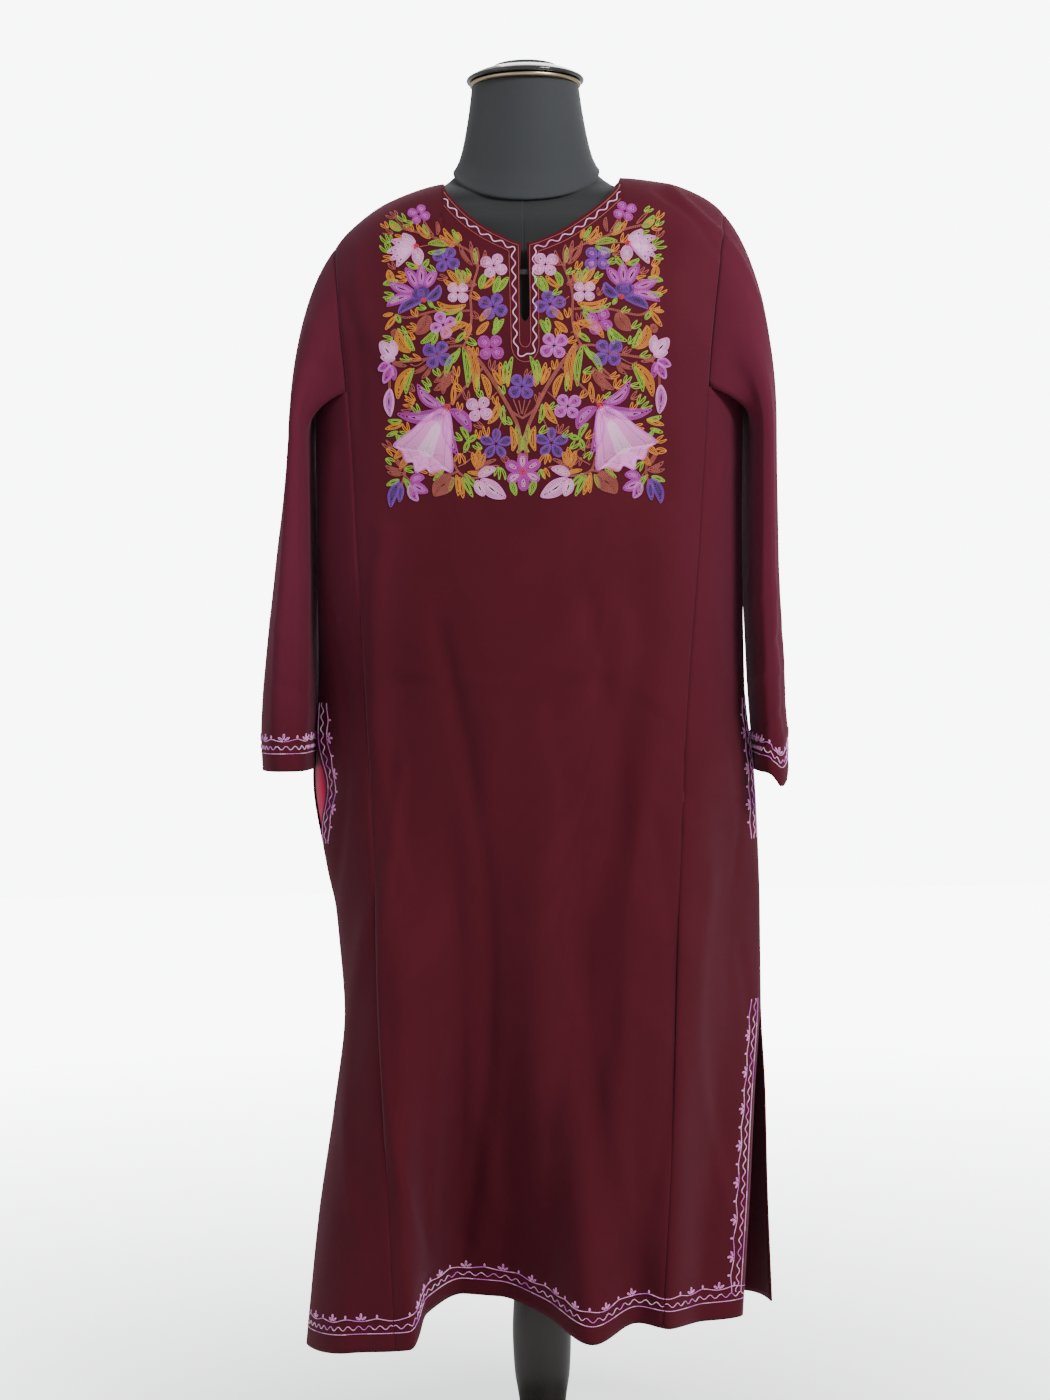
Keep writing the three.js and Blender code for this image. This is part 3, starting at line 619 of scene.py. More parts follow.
def uneven_push(cloth, size):
    """Slow unevenness of hanging wool, the same in every run."""
    x, y, z = (cloth.points[..., i] for i in range(3))
    total = 0
    for k in range(7):
        turn = 1.3 * k + 0.4
        reach = 46 + 17 * k
        place = x * math.cos(turn) + (z * 0.45 + y) * math.sin(turn)
        total = total + np.sin(place / reach * 2 * math.pi + 1.7 * k)
    return total * size / 4


def seam_push(distance, depth=1.1, reach=3.2):
    """A groove beside a seam, by the distance from it."""
    return -depth * hill(distance, reach)


# Creases in the cloth: from one place to another (x and height each), their width and their rise
FRONT_CREASES = (
    # across the yoke, pulling down from the shoulders
    (-178, 1300, -150, 1180, 9, 1.6),
    (-192, 1250, -176, 1120, 7, -1.4),
    (168, 1318, 150, 1190, 10, 1.8),
    (188, 1290, 176, 1150, 7, -1.6),
    (-120, 1345, -86, 1322, 6, 0.8),
    (132, 1352, 96, 1326, 6, 0.8),
    (152, 1364, 206, 1312, 5, 2.6),
    (140, 1354, 196, 1296, 4.5, -2.2),
    (-60, 1190, -30, 1040, 14, 0.9),
    (64, 1180, 48, 1030, 14, 0.9),
    # the pressed band across the front
    (-136, 862, 62, 860, 5, 1.5),
    (-136, 846, 66, 842, 5, -1.3),
    (60, 858, 132, 806, 6, -1.2),
    (62, 868, 128, 824, 6, 1.1),
    # long soft folds of the skirt
    (-152, 1000, -132, 640, 10, 3.0),
    (-136, 760, -122, 240, 7, 3.8),
    (-96, 900, -80, 260, 11, -3.8),
    (-40, 800, -46, 300, 14, 2.0),
    (18, 820, 10, 380, 14, -2.2),
    (56, 930, 60, 420, 13, -3.0),
    (96, 900, 92, 300, 12, 3.2),
    (124, 700, 116, 320, 8, -2.6),
)
BACK_CREASES = (
    (-150, 1280, -110, 1120, 12, 1.8),
    (150, 1290, 116, 1120, 12, 1.8),
    (-60, 1330, 0, 1290, 10, 1.2),
    (70, 1330, 12, 1290, 10, 1.2),
    (-96, 1060, -84, 520, 12, 1.8),
    (-40, 960, -44, 360, 12, -1.8),
    (34, 1040, 30, 420, 12, 1.6),
    (90, 980, 86, 340, 12, -1.8),
    (-120, 700, -124, 240, 9, 2.0),
    (118, 720, 120, 240, 9, 2.0),
    (-130, 846, 120, 850, 6, 1.0),
)
# By the way the sheet faces and the side
GORE_CREASES = {
    (-1, -1): (
        (-206, 1080, -196, 780, 8, 1.8),
        (-222, 980, -214, 620, 6, -1.6),
        (-176, 600, -186, 260, 8, 2.0),
    ),
    (-1, 1): (
        (206, 1080, 196, 860, 8, 1.6),
        (180, 640, 196, 300, 9, 2.0),
        (216, 560, 210, 300, 7, -1.6),
        # the pressed outline of the pocket behind the cloth
        (150, 774, 212, 766, 4, 1.3),
        (140, 728, 214, 718, 4, -1.4),
        (156, 696, 214, 690, 5, 1.3),
        (207, 764, 209, 640, 4, -1.1),
    ),
    (1, -1): ((-204, 1060, -190, 700, 9, 1.8), (-190, 560, -204, 260, 9, 2.0)),
    (1, 1): ((204, 1060, 192, 700, 9, 1.8), (196, 560, 214, 260, 9, 2.0)),
}
# Upright folds of the sleeves: share of the way round, top and bottom, width in shares, and rise
SLEEVE_FOLDS = {
    -1: (
        (0.20, 1180, 800, 0.035, 2.4),
        (0.30, 1240, 960, 0.030, -2.2),
        (0.36, 1120, 770, 0.025, 1.8),
        (0.62, 1160, 800, 0.040, 2.4),
        (0.76, 1200, 880, 0.035, -2.0),
        (0.90, 1240, 1000, 0.040, 1.8),
        (0.08, 1260, 1020, 0.040, -1.6),
    ),
    1: (
        (0.22, 1200, 900, 0.035, 2.4),
        (0.31, 1260, 980, 0.030, -2.2),
        (0.15, 1100, 790, 0.030, -2.0),
        (0.60, 1160, 820, 0.040, 2.2),
        (0.74, 1220, 860, 0.035, -2.0),
        (0.88, 1250, 1000, 0.040, 1.8),
    ),
}
# Slanting rumples of the sleeves: share of the way round, height, width in shares, depth, and rise
SLEEVE_RUMPLES = {
    -1: (
        (0.25, 1210, 0.14, 9, 1.6),
        (0.30, 1176, 0.12, 8, -1.6),
        (0.22, 900, 0.12, 8, 1.2),
        (0.30, 842, 0.14, 9, -1.6),
    ),
    1: (
        (0.24, 1230, 0.14, 9, 1.8),
        (0.30, 1190, 0.12, 8, -1.8),
        (0.28, 930, 0.14, 9, 1.6),
        (0.22, 884, 0.12, 8, -2.0),
        (0.30, 846, 0.16, 9, 2.4),
        (0.24, 806, 0.14, 7, -2.4),
        (0.26, 776, 0.18, 7, 2.6),
    ),
}


def shaped_panel(sheet, creases):
    """A panel with its creases, and a groove where its gores and sleeves are sewn on."""
    cloth = panel_cloth(sheet)
    amount = crease_push(cloth, creases) + uneven_push(cloth, 0.7)
    from_left = cloth.width
    from_right = cloth.width[:, -1:] - cloth.width
    amount += seam_push(from_left, 1.0) + seam_push(from_right, 1.0)
    top = np.arange(cloth.points.shape[0])[:, None]
    cloth.push(amount * (1 - hill(top, CALM["rows"])))
    return cloth


def mouth_pull(from_side, height):
    """How far the front edge of the left pocket mouth is pulled in."""
    level = hill(height - MOUTH_PULL["height"], MOUTH_PULL["half"])
    return MOUTH_PULL["far"] * level * hill(from_side, MOUTH_PULL["reach"])


def shaped_gore(sheet, side):
    cloth = gore_cloth(sheet, side)
    if sheet is FRONT and side < 0:
        from_side = cloth.width[:, -1:] - cloth.width
        cloth.points[..., 0] += mouth_pull(from_side, cloth.points[..., 2])
        cloth.measure()
    amount = crease_push(cloth, GORE_CREASES[sheet.facing, side])
    amount += uneven_push(cloth, 0.8) + seam_push(cloth.width, 0.5, 4)
    to_side = cloth.width[:, -1:] - cloth.width
    amount *= 1 - hill(to_side, CALM["side"])
    cloth.push(amount)
    return cloth


def shaped_sleeve(side, pieces):
    cloth = sleeve_cloth(side, *pieces)
    rows, columns = cloth.points.shape[:2]
    around = np.broadcast_to(np.arange(columns) / (columns - 1), (rows, columns))
    z = cloth.points[..., 2]
    amount = uneven_push(cloth, 0.5)
    for place, high, low, width, rise in SLEEVE_FOLDS[side]:
        amount = amount + rise * hill(around - place, width) * between(z, low, high, 26)
    for place, height, width, depth, rise in SLEEVE_RUMPLES[side]:
        slant = z - height + (around - place) * 90
        amount = amount + rise * hill(around - place, width) * hill(slant, depth)
    away = cloth.length
    amount = amount * (1 - hill(away, CALM["armhole"])) + seam_push(away, 0.5)
    amount[:, -1] = amount[:, 0]
    cloth.push(amount)
    return cloth


def build_cloth():
    front = shaped_panel(FRONT, FRONT_CREASES)
    back = shaped_panel(BACK, BACK_CREASES)
    pieces = {"front_panel": front, "back_panel": back}
    for name, side in (("left", -1), ("right", 1)):
        front_gore = shaped_gore(FRONT, side)
        back_gore = shaped_gore(BACK, side)
        pieces["front_gore_" + name] = front_gore
        pieces["back_gore_" + name] = back_gore
        pieces["sleeve_" + name] = shaped_sleeve(side, (front, back, front_gore, back_gore))
    return pieces


CLOTH = build_cloth()


# The studio's light, the near-white that only the camera sees, and the floor's painted glow, also seen
# only by the camera, weak beside the object and as bright as the backdrop far out
WORLD_COLOR = (0.96, 0.98, 1.0, 1)
WORLD_LIGHT = 0.64
BACKDROP_COLOR = (0.97, 0.99, 1.0, 1)
BACKDROP_SEEN = 8.5
FLOOR_GLOW = 1.2
FLOOR_START = 0.3
FLOOR_REACH = 2.6
FLOOR_HALF = 6


# Materials

class Shade:
    """A value in a material, so that its maths reads as it is written."""

    def __init__(self, nodes, socket):
        self.nodes = nodes
        self.socket = socket

    def _maths(self, operation, other=None, swapped=False):
        inputs = [self.socket] if other is None else [self.socket, getattr(other, "socket", other)]
        if swapped:
            inputs.reverse()
        return self.nodes.add("ShaderNodeMath", {"operation": operation}, inputs)

    def __add__(self, other):
        return self._maths("ADD", other)

    def __radd__(self, other):
        return self._maths("ADD", other, True)

    def __sub__(self, other):
        return self._maths("SUBTRACT", other)

    def __rsub__(self, other):
        return self._maths("SUBTRACT", other, True)

    def __mul__(self, other):
        return self._maths("MULTIPLY", other)

    def __rmul__(self, other):
        return self._maths("MULTIPLY", other, True)

    def sine(self):
        return self._maths("SINE")

    def power(self, other):
        return self._maths("POWER", other)

    def clamp(self):
        return self.nodes.add("ShaderNodeClamp", {}, [self.socket])


class Finish:
    """A material and the nodes in it."""

    def __init__(self, name, color, roughness, **settings):
        self.material = bpy.data.materials.new(name)
        self.material.use_nodes = True
        self.tree = self.material.node_tree
        self.shader = self.tree.nodes["Principled BSDF"]
        self.material.diffuse_color = (*color, 1)
        self.set("Base Color", (*color, 1))
        self.set("Roughness", roughness)
        for socket, value in settings.items():
            self.set(socket.replace("_", " ").title().replace("Ior", "IOR"), value)

    def set(self, socket, value):
        target = self.shader.inputs[socket]
        if isinstance(value, Shade):
            self.tree.links.new(value.socket, target)
        else:
            target.default_value = value

    def add(self, kind, settings, inputs=(), output=0):
        """A node of any kind: its settings first, then its sockets by order or by name."""
        node = self.tree.nodes.new(kind)
        for name, value in settings.items():
            if name == "stops":
                for element, (place, color) in zip(node.color_ramp.elements, value):
                    element.position = place
                    element.color = color
            else:
                setattr(node, name, value)
        pairs = inputs.items() if isinstance(inputs, dict) else enumerate(inputs)
        for key, value in pairs:
            value = getattr(value, "socket", value)
            if isinstance(value, bpy.types.NodeSocket):
                self.tree.links.new(value, node.inputs[key])
            else:
                node.inputs[key].default_value = value
        return Shade(self, node.outputs[output])

    def blend(self, factor, first, second):
        """A colour between two others."""
        settings = {"data_type": "RGBA"}
        inputs = {0: factor, 6: first, 7: second}
        return self.add("ShaderNodeMix", settings, inputs, 2)

    def place(self):
        """The object's own coordinates in metres."""
        return self.add("ShaderNodeTexCoord", {}, output=3)

    def part(self, vector, axis):
        """One coordinate of a vector."""
        return self.add("ShaderNodeSeparateXYZ", {}, [vector], axis)

    def noise(self, place, scale, detail=2.0):
        return self.add("ShaderNodeTexNoise", {}, {"Vector": place, "Scale": scale, "Detail": detail})

    def bump(self, height, strength, distance):
        inputs = {"Height": height, "Strength": strength, "Distance": distance}
        self.set("Normal", self.add("ShaderNodeBump", {}, inputs))


def shaded(color, share, more=0):
    """A darker or lighter shade of a colour."""
    return tuple(min(1, share * part + more) for part in color) + (1,)


# The wool's twill line, and the painted sheen that makes its shoulders and sleeves paler: its colour,
# share, growth out and up
TWILL = 0.0011
PAINTED_SHEEN_COLOR = (0.112, 0.0110, 0.033, 1)
PAINTED_SHEEN_SHARE = 0.8
PAINTED_SHEEN_ASIDE = (18, 0.25)
PAINTED_SHEEN_UP = (0.72, 4)


def wool_finish(name, color):
    """Soft matt wool: a fine twill line, slow changes of shade, a little surface hair, and painted
    sheen high on the sides.
    """
    finish = Finish(name, color, 0.88, sheen_weight=0.1, sheen_roughness=0.45, specular_ior_level=0.2)
    finish.set("Sheen Tint", (0.9, 0.42, 0.62, 1))
    flat = finish.add("ShaderNodeUVMap", {"uv_map": "cloth"})
    slow = finish.noise(flat, 14.0, 3.0)
    fine = finish.noise(flat, 900.0, 3.0)
    mottle = (slow * 0.65 + fine * 0.35 - 0.5) * 1.4 + 0.5
    shade = finish.blend(mottle, shaded(color, 0.82), shaded(color, 1.16, 0.002))
    place = finish.place()
    out = finish.part(place, 0)
    up = finish.part(place, 2)
    # Painted sheen: the colour turns paler and purpler out at the sides and high up, on the shoulders
    # and sleeves
    aside = (out * out * PAINTED_SHEEN_ASIDE[0] - PAINTED_SHEEN_ASIDE[1]).clamp()
    above = ((up - PAINTED_SHEEN_UP[0]) * PAINTED_SHEEN_UP[1]).clamp()
    finish.set("Base Color", finish.blend((aside * above * PAINTED_SHEEN_SHARE).clamp(), shade, PAINTED_SHEEN_COLOR))
    twill = ((finish.part(flat, 0) + finish.part(flat, 1)) * (2 * math.pi / TWILL)).sine() * 0.5 + 0.5
    finish.bump(twill * 0.5 + fine * 0.6, 0.22, 0.0006)
    return finish.material


def lining_finish(name, color):
    finish = Finish(name, color, 0.8, sheen_weight=0.2)
    finish.bump(finish.noise(finish.place(), 700.0), 0.2, 0.0005)
    return finish.material


def thread_finish(name, color):
    """Twisted wool or silk thread with a soft shine."""
    return Finish(name, color, 0.55, sheen_weight=0.25, specular_ior_level=0.4).material


def cover_finish(name, color, seam_depth=0):
    """The form's close cotton cover, with a seam down the middle where it has a depth."""
    finish = Finish(name, color, 0.82, sheen_weight=0.22, sheen_roughness=0.5)
    place = finish.place()
    weave = finish.noise(place, 1100.0)
    slow = finish.noise(place, 22.0)
    shade = finish.blend(slow * 0.5 + weave * 0.5, shaded(color, 0.8), shaded(color, 1.25))
    finish.set("Base Color", shade)
    aside = finish.part(place, 0) + 0.004
    beside_seam = (aside * aside * 500000).clamp()
    finish.bump(weave + beside_seam * seam_depth, 0.25 + 0.4 * (seam_depth > 0), 0.0004)
    return finish.material


def lacquer_finish(name, color):
    return Finish(name, color, 0.16, coat_weight=0.6, coat_roughness=0.06).material


def brass_finish(name, color):
    return Finish(name, color, 0.32, metallic=1.0).material


def wood_finish(name, color):
    """Dark stained wood: long grain along the column, under varnish."""
    finish = Finish(name, color, 0.42, coat_weight=0.12, coat_roughness=0.2)
    stretched = finish.add("ShaderNodeMapping", {}, {"Vector": finish.place(), "Scale": (90, 90, 5)})
    grain = finish.noise(stretched, 1.0, 3.0)
    finish.set("Base Color", finish.blend(grain, shaded(color, 0.6), shaded(color, 1.7)))
    return finish.material


def stage_finish(name, color):
    """A pale floor with a painted glow that only the camera sees, weak near the stand and as bright as
    the backdrop far out, so that it meets the backdrop without a line.
    """
    finish = Finish(name, color, 0.9, specular_ior_level=0.1)
    seen = finish.add("ShaderNodeLightPath", {})
    place = finish.place()
    across = finish.part(place, 0)
    back = finish.part(place, 1)
    away = (across * across + back * back).power(0.5)
    far = ((away - FLOOR_START) * (1 / FLOOR_REACH)).clamp()
    # Painted glow for camera rays only: weak beside the stand, which leaves the floor darker there,
    # and rising to the backdrop's far out
    finish.set("Emission Color", BACKDROP_COLOR)
    finish.set("Emission Strength", seen * (far * (BACKDROP_SEEN - FLOOR_GLOW) + FLOOR_GLOW))
    return finish.material


# Meshes

def placed(mesh, name, material, slot=None):
    """A smooth object at the origin from a mesh, riding on the one body of the part when a slot is
    given.
    """
    mesh.materials.append(material)
    mesh.polygons.foreach_set("use_smooth", [True] * len(mesh.polygons))
    piece = bpy.data.objects.new(name, mesh)
    bpy.context.scene.collection.objects.link(piece)
    if slot:
        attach(piece, "root")
    return piece


def finished(bm, name, material, slot=None, thickness=0):
    """An object from a bmesh, thickened inwards if it is cloth."""
    mesh = bpy.data.meshes.new(name)
    bm.to_mesh(mesh)
    bm.free()
    piece = placed(mesh, name, material, slot)
    if thickness:
        solid = piece.modifiers.new("Thickness", "SOLIDIFY")
        solid.thickness = thickness
        solid.offset = -1
    return piece


def replaced(node, word, bm, material, slot, thickness=0):
    """A piece in place of its CAD node."""
    piece = finished(bm, node + "_" + word, material, slot, thickness)
    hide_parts(node)
    return piece


def laid_grid(points):
    """A bmesh grid laid on rows of points in millimetres, with the row and column of each vertex."""
    rows, columns = points.shape[:2]
    bm = bmesh.new()
    bmesh.ops.create_grid(bm, x_segments=columns - 1, y_segments=rows - 1, size=1)
    places = {}
    for vert in bm.verts:
        column = round((vert.co.x + 1) / 2 * (columns - 1))
        row = round((vert.co.y + 1) / 2 * (rows - 1))
        places[vert] = (row, column)
        vert.co = points[row, column] * MM
    return bm, places


def grid_bmesh(cloth):
    """A grid laid on a cloth's points, with the cloth's flat measures as its UV map."""
    bm, places = laid_grid(cloth.points)
    flat = bm.loops.layers.uv.new("cloth")
    for face in bm.faces:
        for loop in face.loops:
            row, column = places[loop.vert]
            loop[flat].uv = (cloth.width[row, column] * MM, cloth.length[row, column] * MM)
    slit = cloth.slit_column
    if slit is not None:
        gap = [face for face in bm.faces if {places[v][1] for v in face.verts} == {slit, slit + 1}]
        bmesh.ops.delete(bm, geom=gap, context="FACES")
    bmesh.ops.remove_doubles(bm, verts=bm.verts, dist=1e-5)
    bm.normal_update()
    kept = [vert for vert in bm.verts if vert in places]
    if sum(vert.normal.dot(Vector(cloth.normals[places[vert]])) for vert in kept) < 0:
        bmesh.ops.reverse_faces(bm, faces=bm.faces)
    return bm


def cut_area(cloth):
    """The cloth's own area in square metres, as it was cut."""
    p = cloth.points
    across = p[1:, 1:] - p[:-1, :-1]
    down = p[1:, :-1] - p[:-1, 1:]
    return float(np.linalg.norm(np.cross(across, down), axis=-1).sum() / 2 * MM * MM)


def declare_sheet(cloth, flat):
    """Works out how large the piece was cut, no larger than its flat size; nothing is done with it."""
    area = min(cut_area(cloth), flat[0] * flat[1])


# The flat sizes of the cloth in metres, and of each pocket bag, with its side
FLATS = {
    "front_panel": (0.46, 1.24),
    "back_panel": (0.46, 1.26),
    "front_gore_left": (0.26, 1.02),
    "front_gore_right": (0.26, 1.02),
    "back_gore_left": (0.26, 1.02),
    "back_gore_right": (0.26, 1.02),
    "sleeve_left": (0.44, 0.56),
    "sleeve_right": (0.44, 0.6),
}
BAG_FLATS = {"left": (-1, (0.42, 0.06)), "right": (1, (0.42, 0.12))}

# The torso and the neck block: half width, reach to both sides, roundness, and drop to the front
TORSO = table(
    "height half front back power slant",
    (715, 164, 102, 108, 2.2, 0),
    (790, 170, 106, 114, 2.2, 0),
    (860, 167, 106, 112, 2.2, 0),
    (940, 148, 98, 96, 2.2, 0),
    (1020, 131, 90, 78, 2.2, 0),
    (1100, 149, 106, 88, 2.2, 0),
    (1180, 169, 120, 100, 2.3, 0),
    (1250, 188, 101, 99, 2.2, 0),
    (1296, 190, 84, 92, 2.1, 0),
    (1323, 182, 78, 84, 1.9, 0),
    (1342, 166, 66, 72, 1.6, 0),
    (1355.4, 145, 59, 62, 1.5, 0.04),
    (1374, 92, 57, 58, 1.6, 0.16),
    (1388, 73, 54, 56, 2.0, 0.42),
)
NECK = table(
    "height half front back power slant",
    (1388, 77, 64, 57, 2, 0.62),
    (1390, 78, 65, 59, 2, 0.62),
    (1394, 75.3, 62, 58.5, 2, 0.57),
    (1405, 70.3, 57, 58, 2, 0.38),
    (1425, 65.3, 55, 58, 2, 0.13),
    (1455, 60, 54, 56, 2, 0),
    (1478, 57, 53, 54, 2, 0),
)
# The drop at the neck block's back, as a share of its front's
BACK_SLANT = 0.45
FORM_SIDES = 100
# The torso's size within its solid, and the painted shade of its cover: how dark it is painted beside
# the neck's
TORSO_SHARE = 0.985
TORSO_PAINTED_SHADE = 0.18


def form_heights(rows, count):
    """Even heights from the bottom to the top of a table."""
    return np.linspace(rows["height"][0], rows["height"][-1], count)


def form_rings(rows, heights, share, seam_depth=0.9):
    """Rings of the form through its table, with a sewn seam down the middle of the front and back."""
    values = {name: look_up(rows, name, heights)[:, None] for name in rows if name != "height"}
    angle = np.linspace(0, 2 * math.pi, FORM_SIDES + 1)[None, :]
    bend = 2 / values["power"]
    cosine, sine = np.cos(angle), np.sin(angle)
    x = values["half"] * np.sign(cosine) * np.abs(cosine) ** bend
    depth = np.where(sine < 0, values["front"], values["back"])
    y = depth * np.sign(sine) * np.abs(sine) ** bend
    groove = 1 - seam_depth / depth * hill(x, 1.6)
    slant = values["slant"] * np.where(sine < 0, 1, BACK_SLANT if rows is NECK else 1)
    return np.stack([x * share, y * share * groove, heights[:, None] + slant * y], -1)


def ring_bmesh(rings, cap_ends=True):
    """A closed skin through rings of points in millimetres."""
    bm, _ = laid_grid(rings)
    bmesh.ops.remove_doubles(bm, verts=bm.verts, dist=1e-6)
    if cap_ends:
        bmesh.ops.holes_fill(bm, edges=[edge for edge in bm.edges if edge.is_boundary], sides=0)
    bmesh.ops.recalc_face_normals(bm, faces=bm.faces)
    return bm


def turned_bmesh(profile, steps=96):
    """A piece turned on the lathe, from its radius and height in millimetres, bottom to top."""
    bm = bmesh.new()
    verts = [bm.verts.new((radius * MM, 0, height * MM)) for radius, height in profile]
    edges = [bm.edges.new(pair) for pair in zip(verts, verts[1:])]
    turn = {"cent": (0, 0, 0), "axis": (0, 0, 1), "angle": 2 * math.pi}
    bmesh.ops.spin(bm, geom=verts + edges, steps=steps, use_merge=True, **turn)
    bmesh.ops.remove_doubles(bm, verts=bm.verts, dist=1e-6)
    bmesh.ops.recalc_face_normals(bm, faces=bm.faces)
    return bm


def rounded(points, steps):
    """A turned profile with a smooth curve through its points."""
    radii, heights = zip(*points)
    order = np.arange(len(points))
    fine = np.linspace(0, len(points) - 1, (len(points) - 1) * steps + 1)
    return list(zip(read(order, radii, fine), read(order, heights, fine)))


# Turned profiles from the bottom up: radius and height
CAP_RING = (
    (0, 1478.3), (55, 1478.3), (58, 1478.8), (59, 1480), (59, 1481.6), (58, 1482.7), (55, 1483),
    (0, 1483),
)
CAP = (
    (0, 1483.3), (55, 1483.3), (60, 1483.4), (62, 1484), (62.5, 1485.6), (61.8, 1487),
    (60, 1488.2), (50, 1493), (40, 1496.4), (36.5, 1497.4), (35, 1498.2), (34, 1500),
    (31.5, 1501), (20, 1502.4), (8, 1503), (0, 1503),
)
COLUMN = (
    (42, 28.3), (42.4, 31), (42, 35.5), (34, 39), (27, 44), (24.6, 52), (24, 62), (26, 80),
    (30, 108), (31.5, 148), (29, 190), (24.4, 216), (21, 240), (18.4, 270), (17, 300),
    (17, 480), (17, 688), (19, 694), (30, 700), (36, 704), (36, 714.7),
)
BASE = (
    (169, 0), (171, 1.4), (172, 4), (172, 10), (170.4, 15), (166, 19.4), (160, 22), (120, 25),
    (90, 26.6), (72, 27.6), (60, 28),
)


# Thread colours
THREADS = {
    "pale_pink": (0.88, 0.32, 0.70),
    "white": (0.93, 0.56, 0.82),
    "lilac": (0.66, 0.15, 0.62),
    "magenta": (0.47, 0.022, 0.38),
    "violet": (0.20, 0.030, 0.40),
    "dark_violet": (0.075, 0.014, 0.19),
    "gold": (0.72, 0.25, 0.003),
    "green": (0.27, 0.52, 0.020),
    "rust": (0.36, 0.065, 0.045),
    "red": (0.75, 0.02, 0.05),
}
# A chain stitch, how far one reaches into the next, and how its tail, head and top narrow
STITCH = {"length": 2.1, "width": 1.25, "rise": 0.75, "row": 1.25, "overlap": 1.16}
GRAIN = {"tail": 0.62, "head": 0.96, "top_length": 0.62, "top_width": 0.5, "sunk": -0.15}

# Where the yoke's stencil lies: its middle line, its zero height and its scales. Places are (out, up)
STENCIL = {"x": -8, "height": 1188, "scale": {-1: 1.03, 1: 1.07}, "up": 1.025}

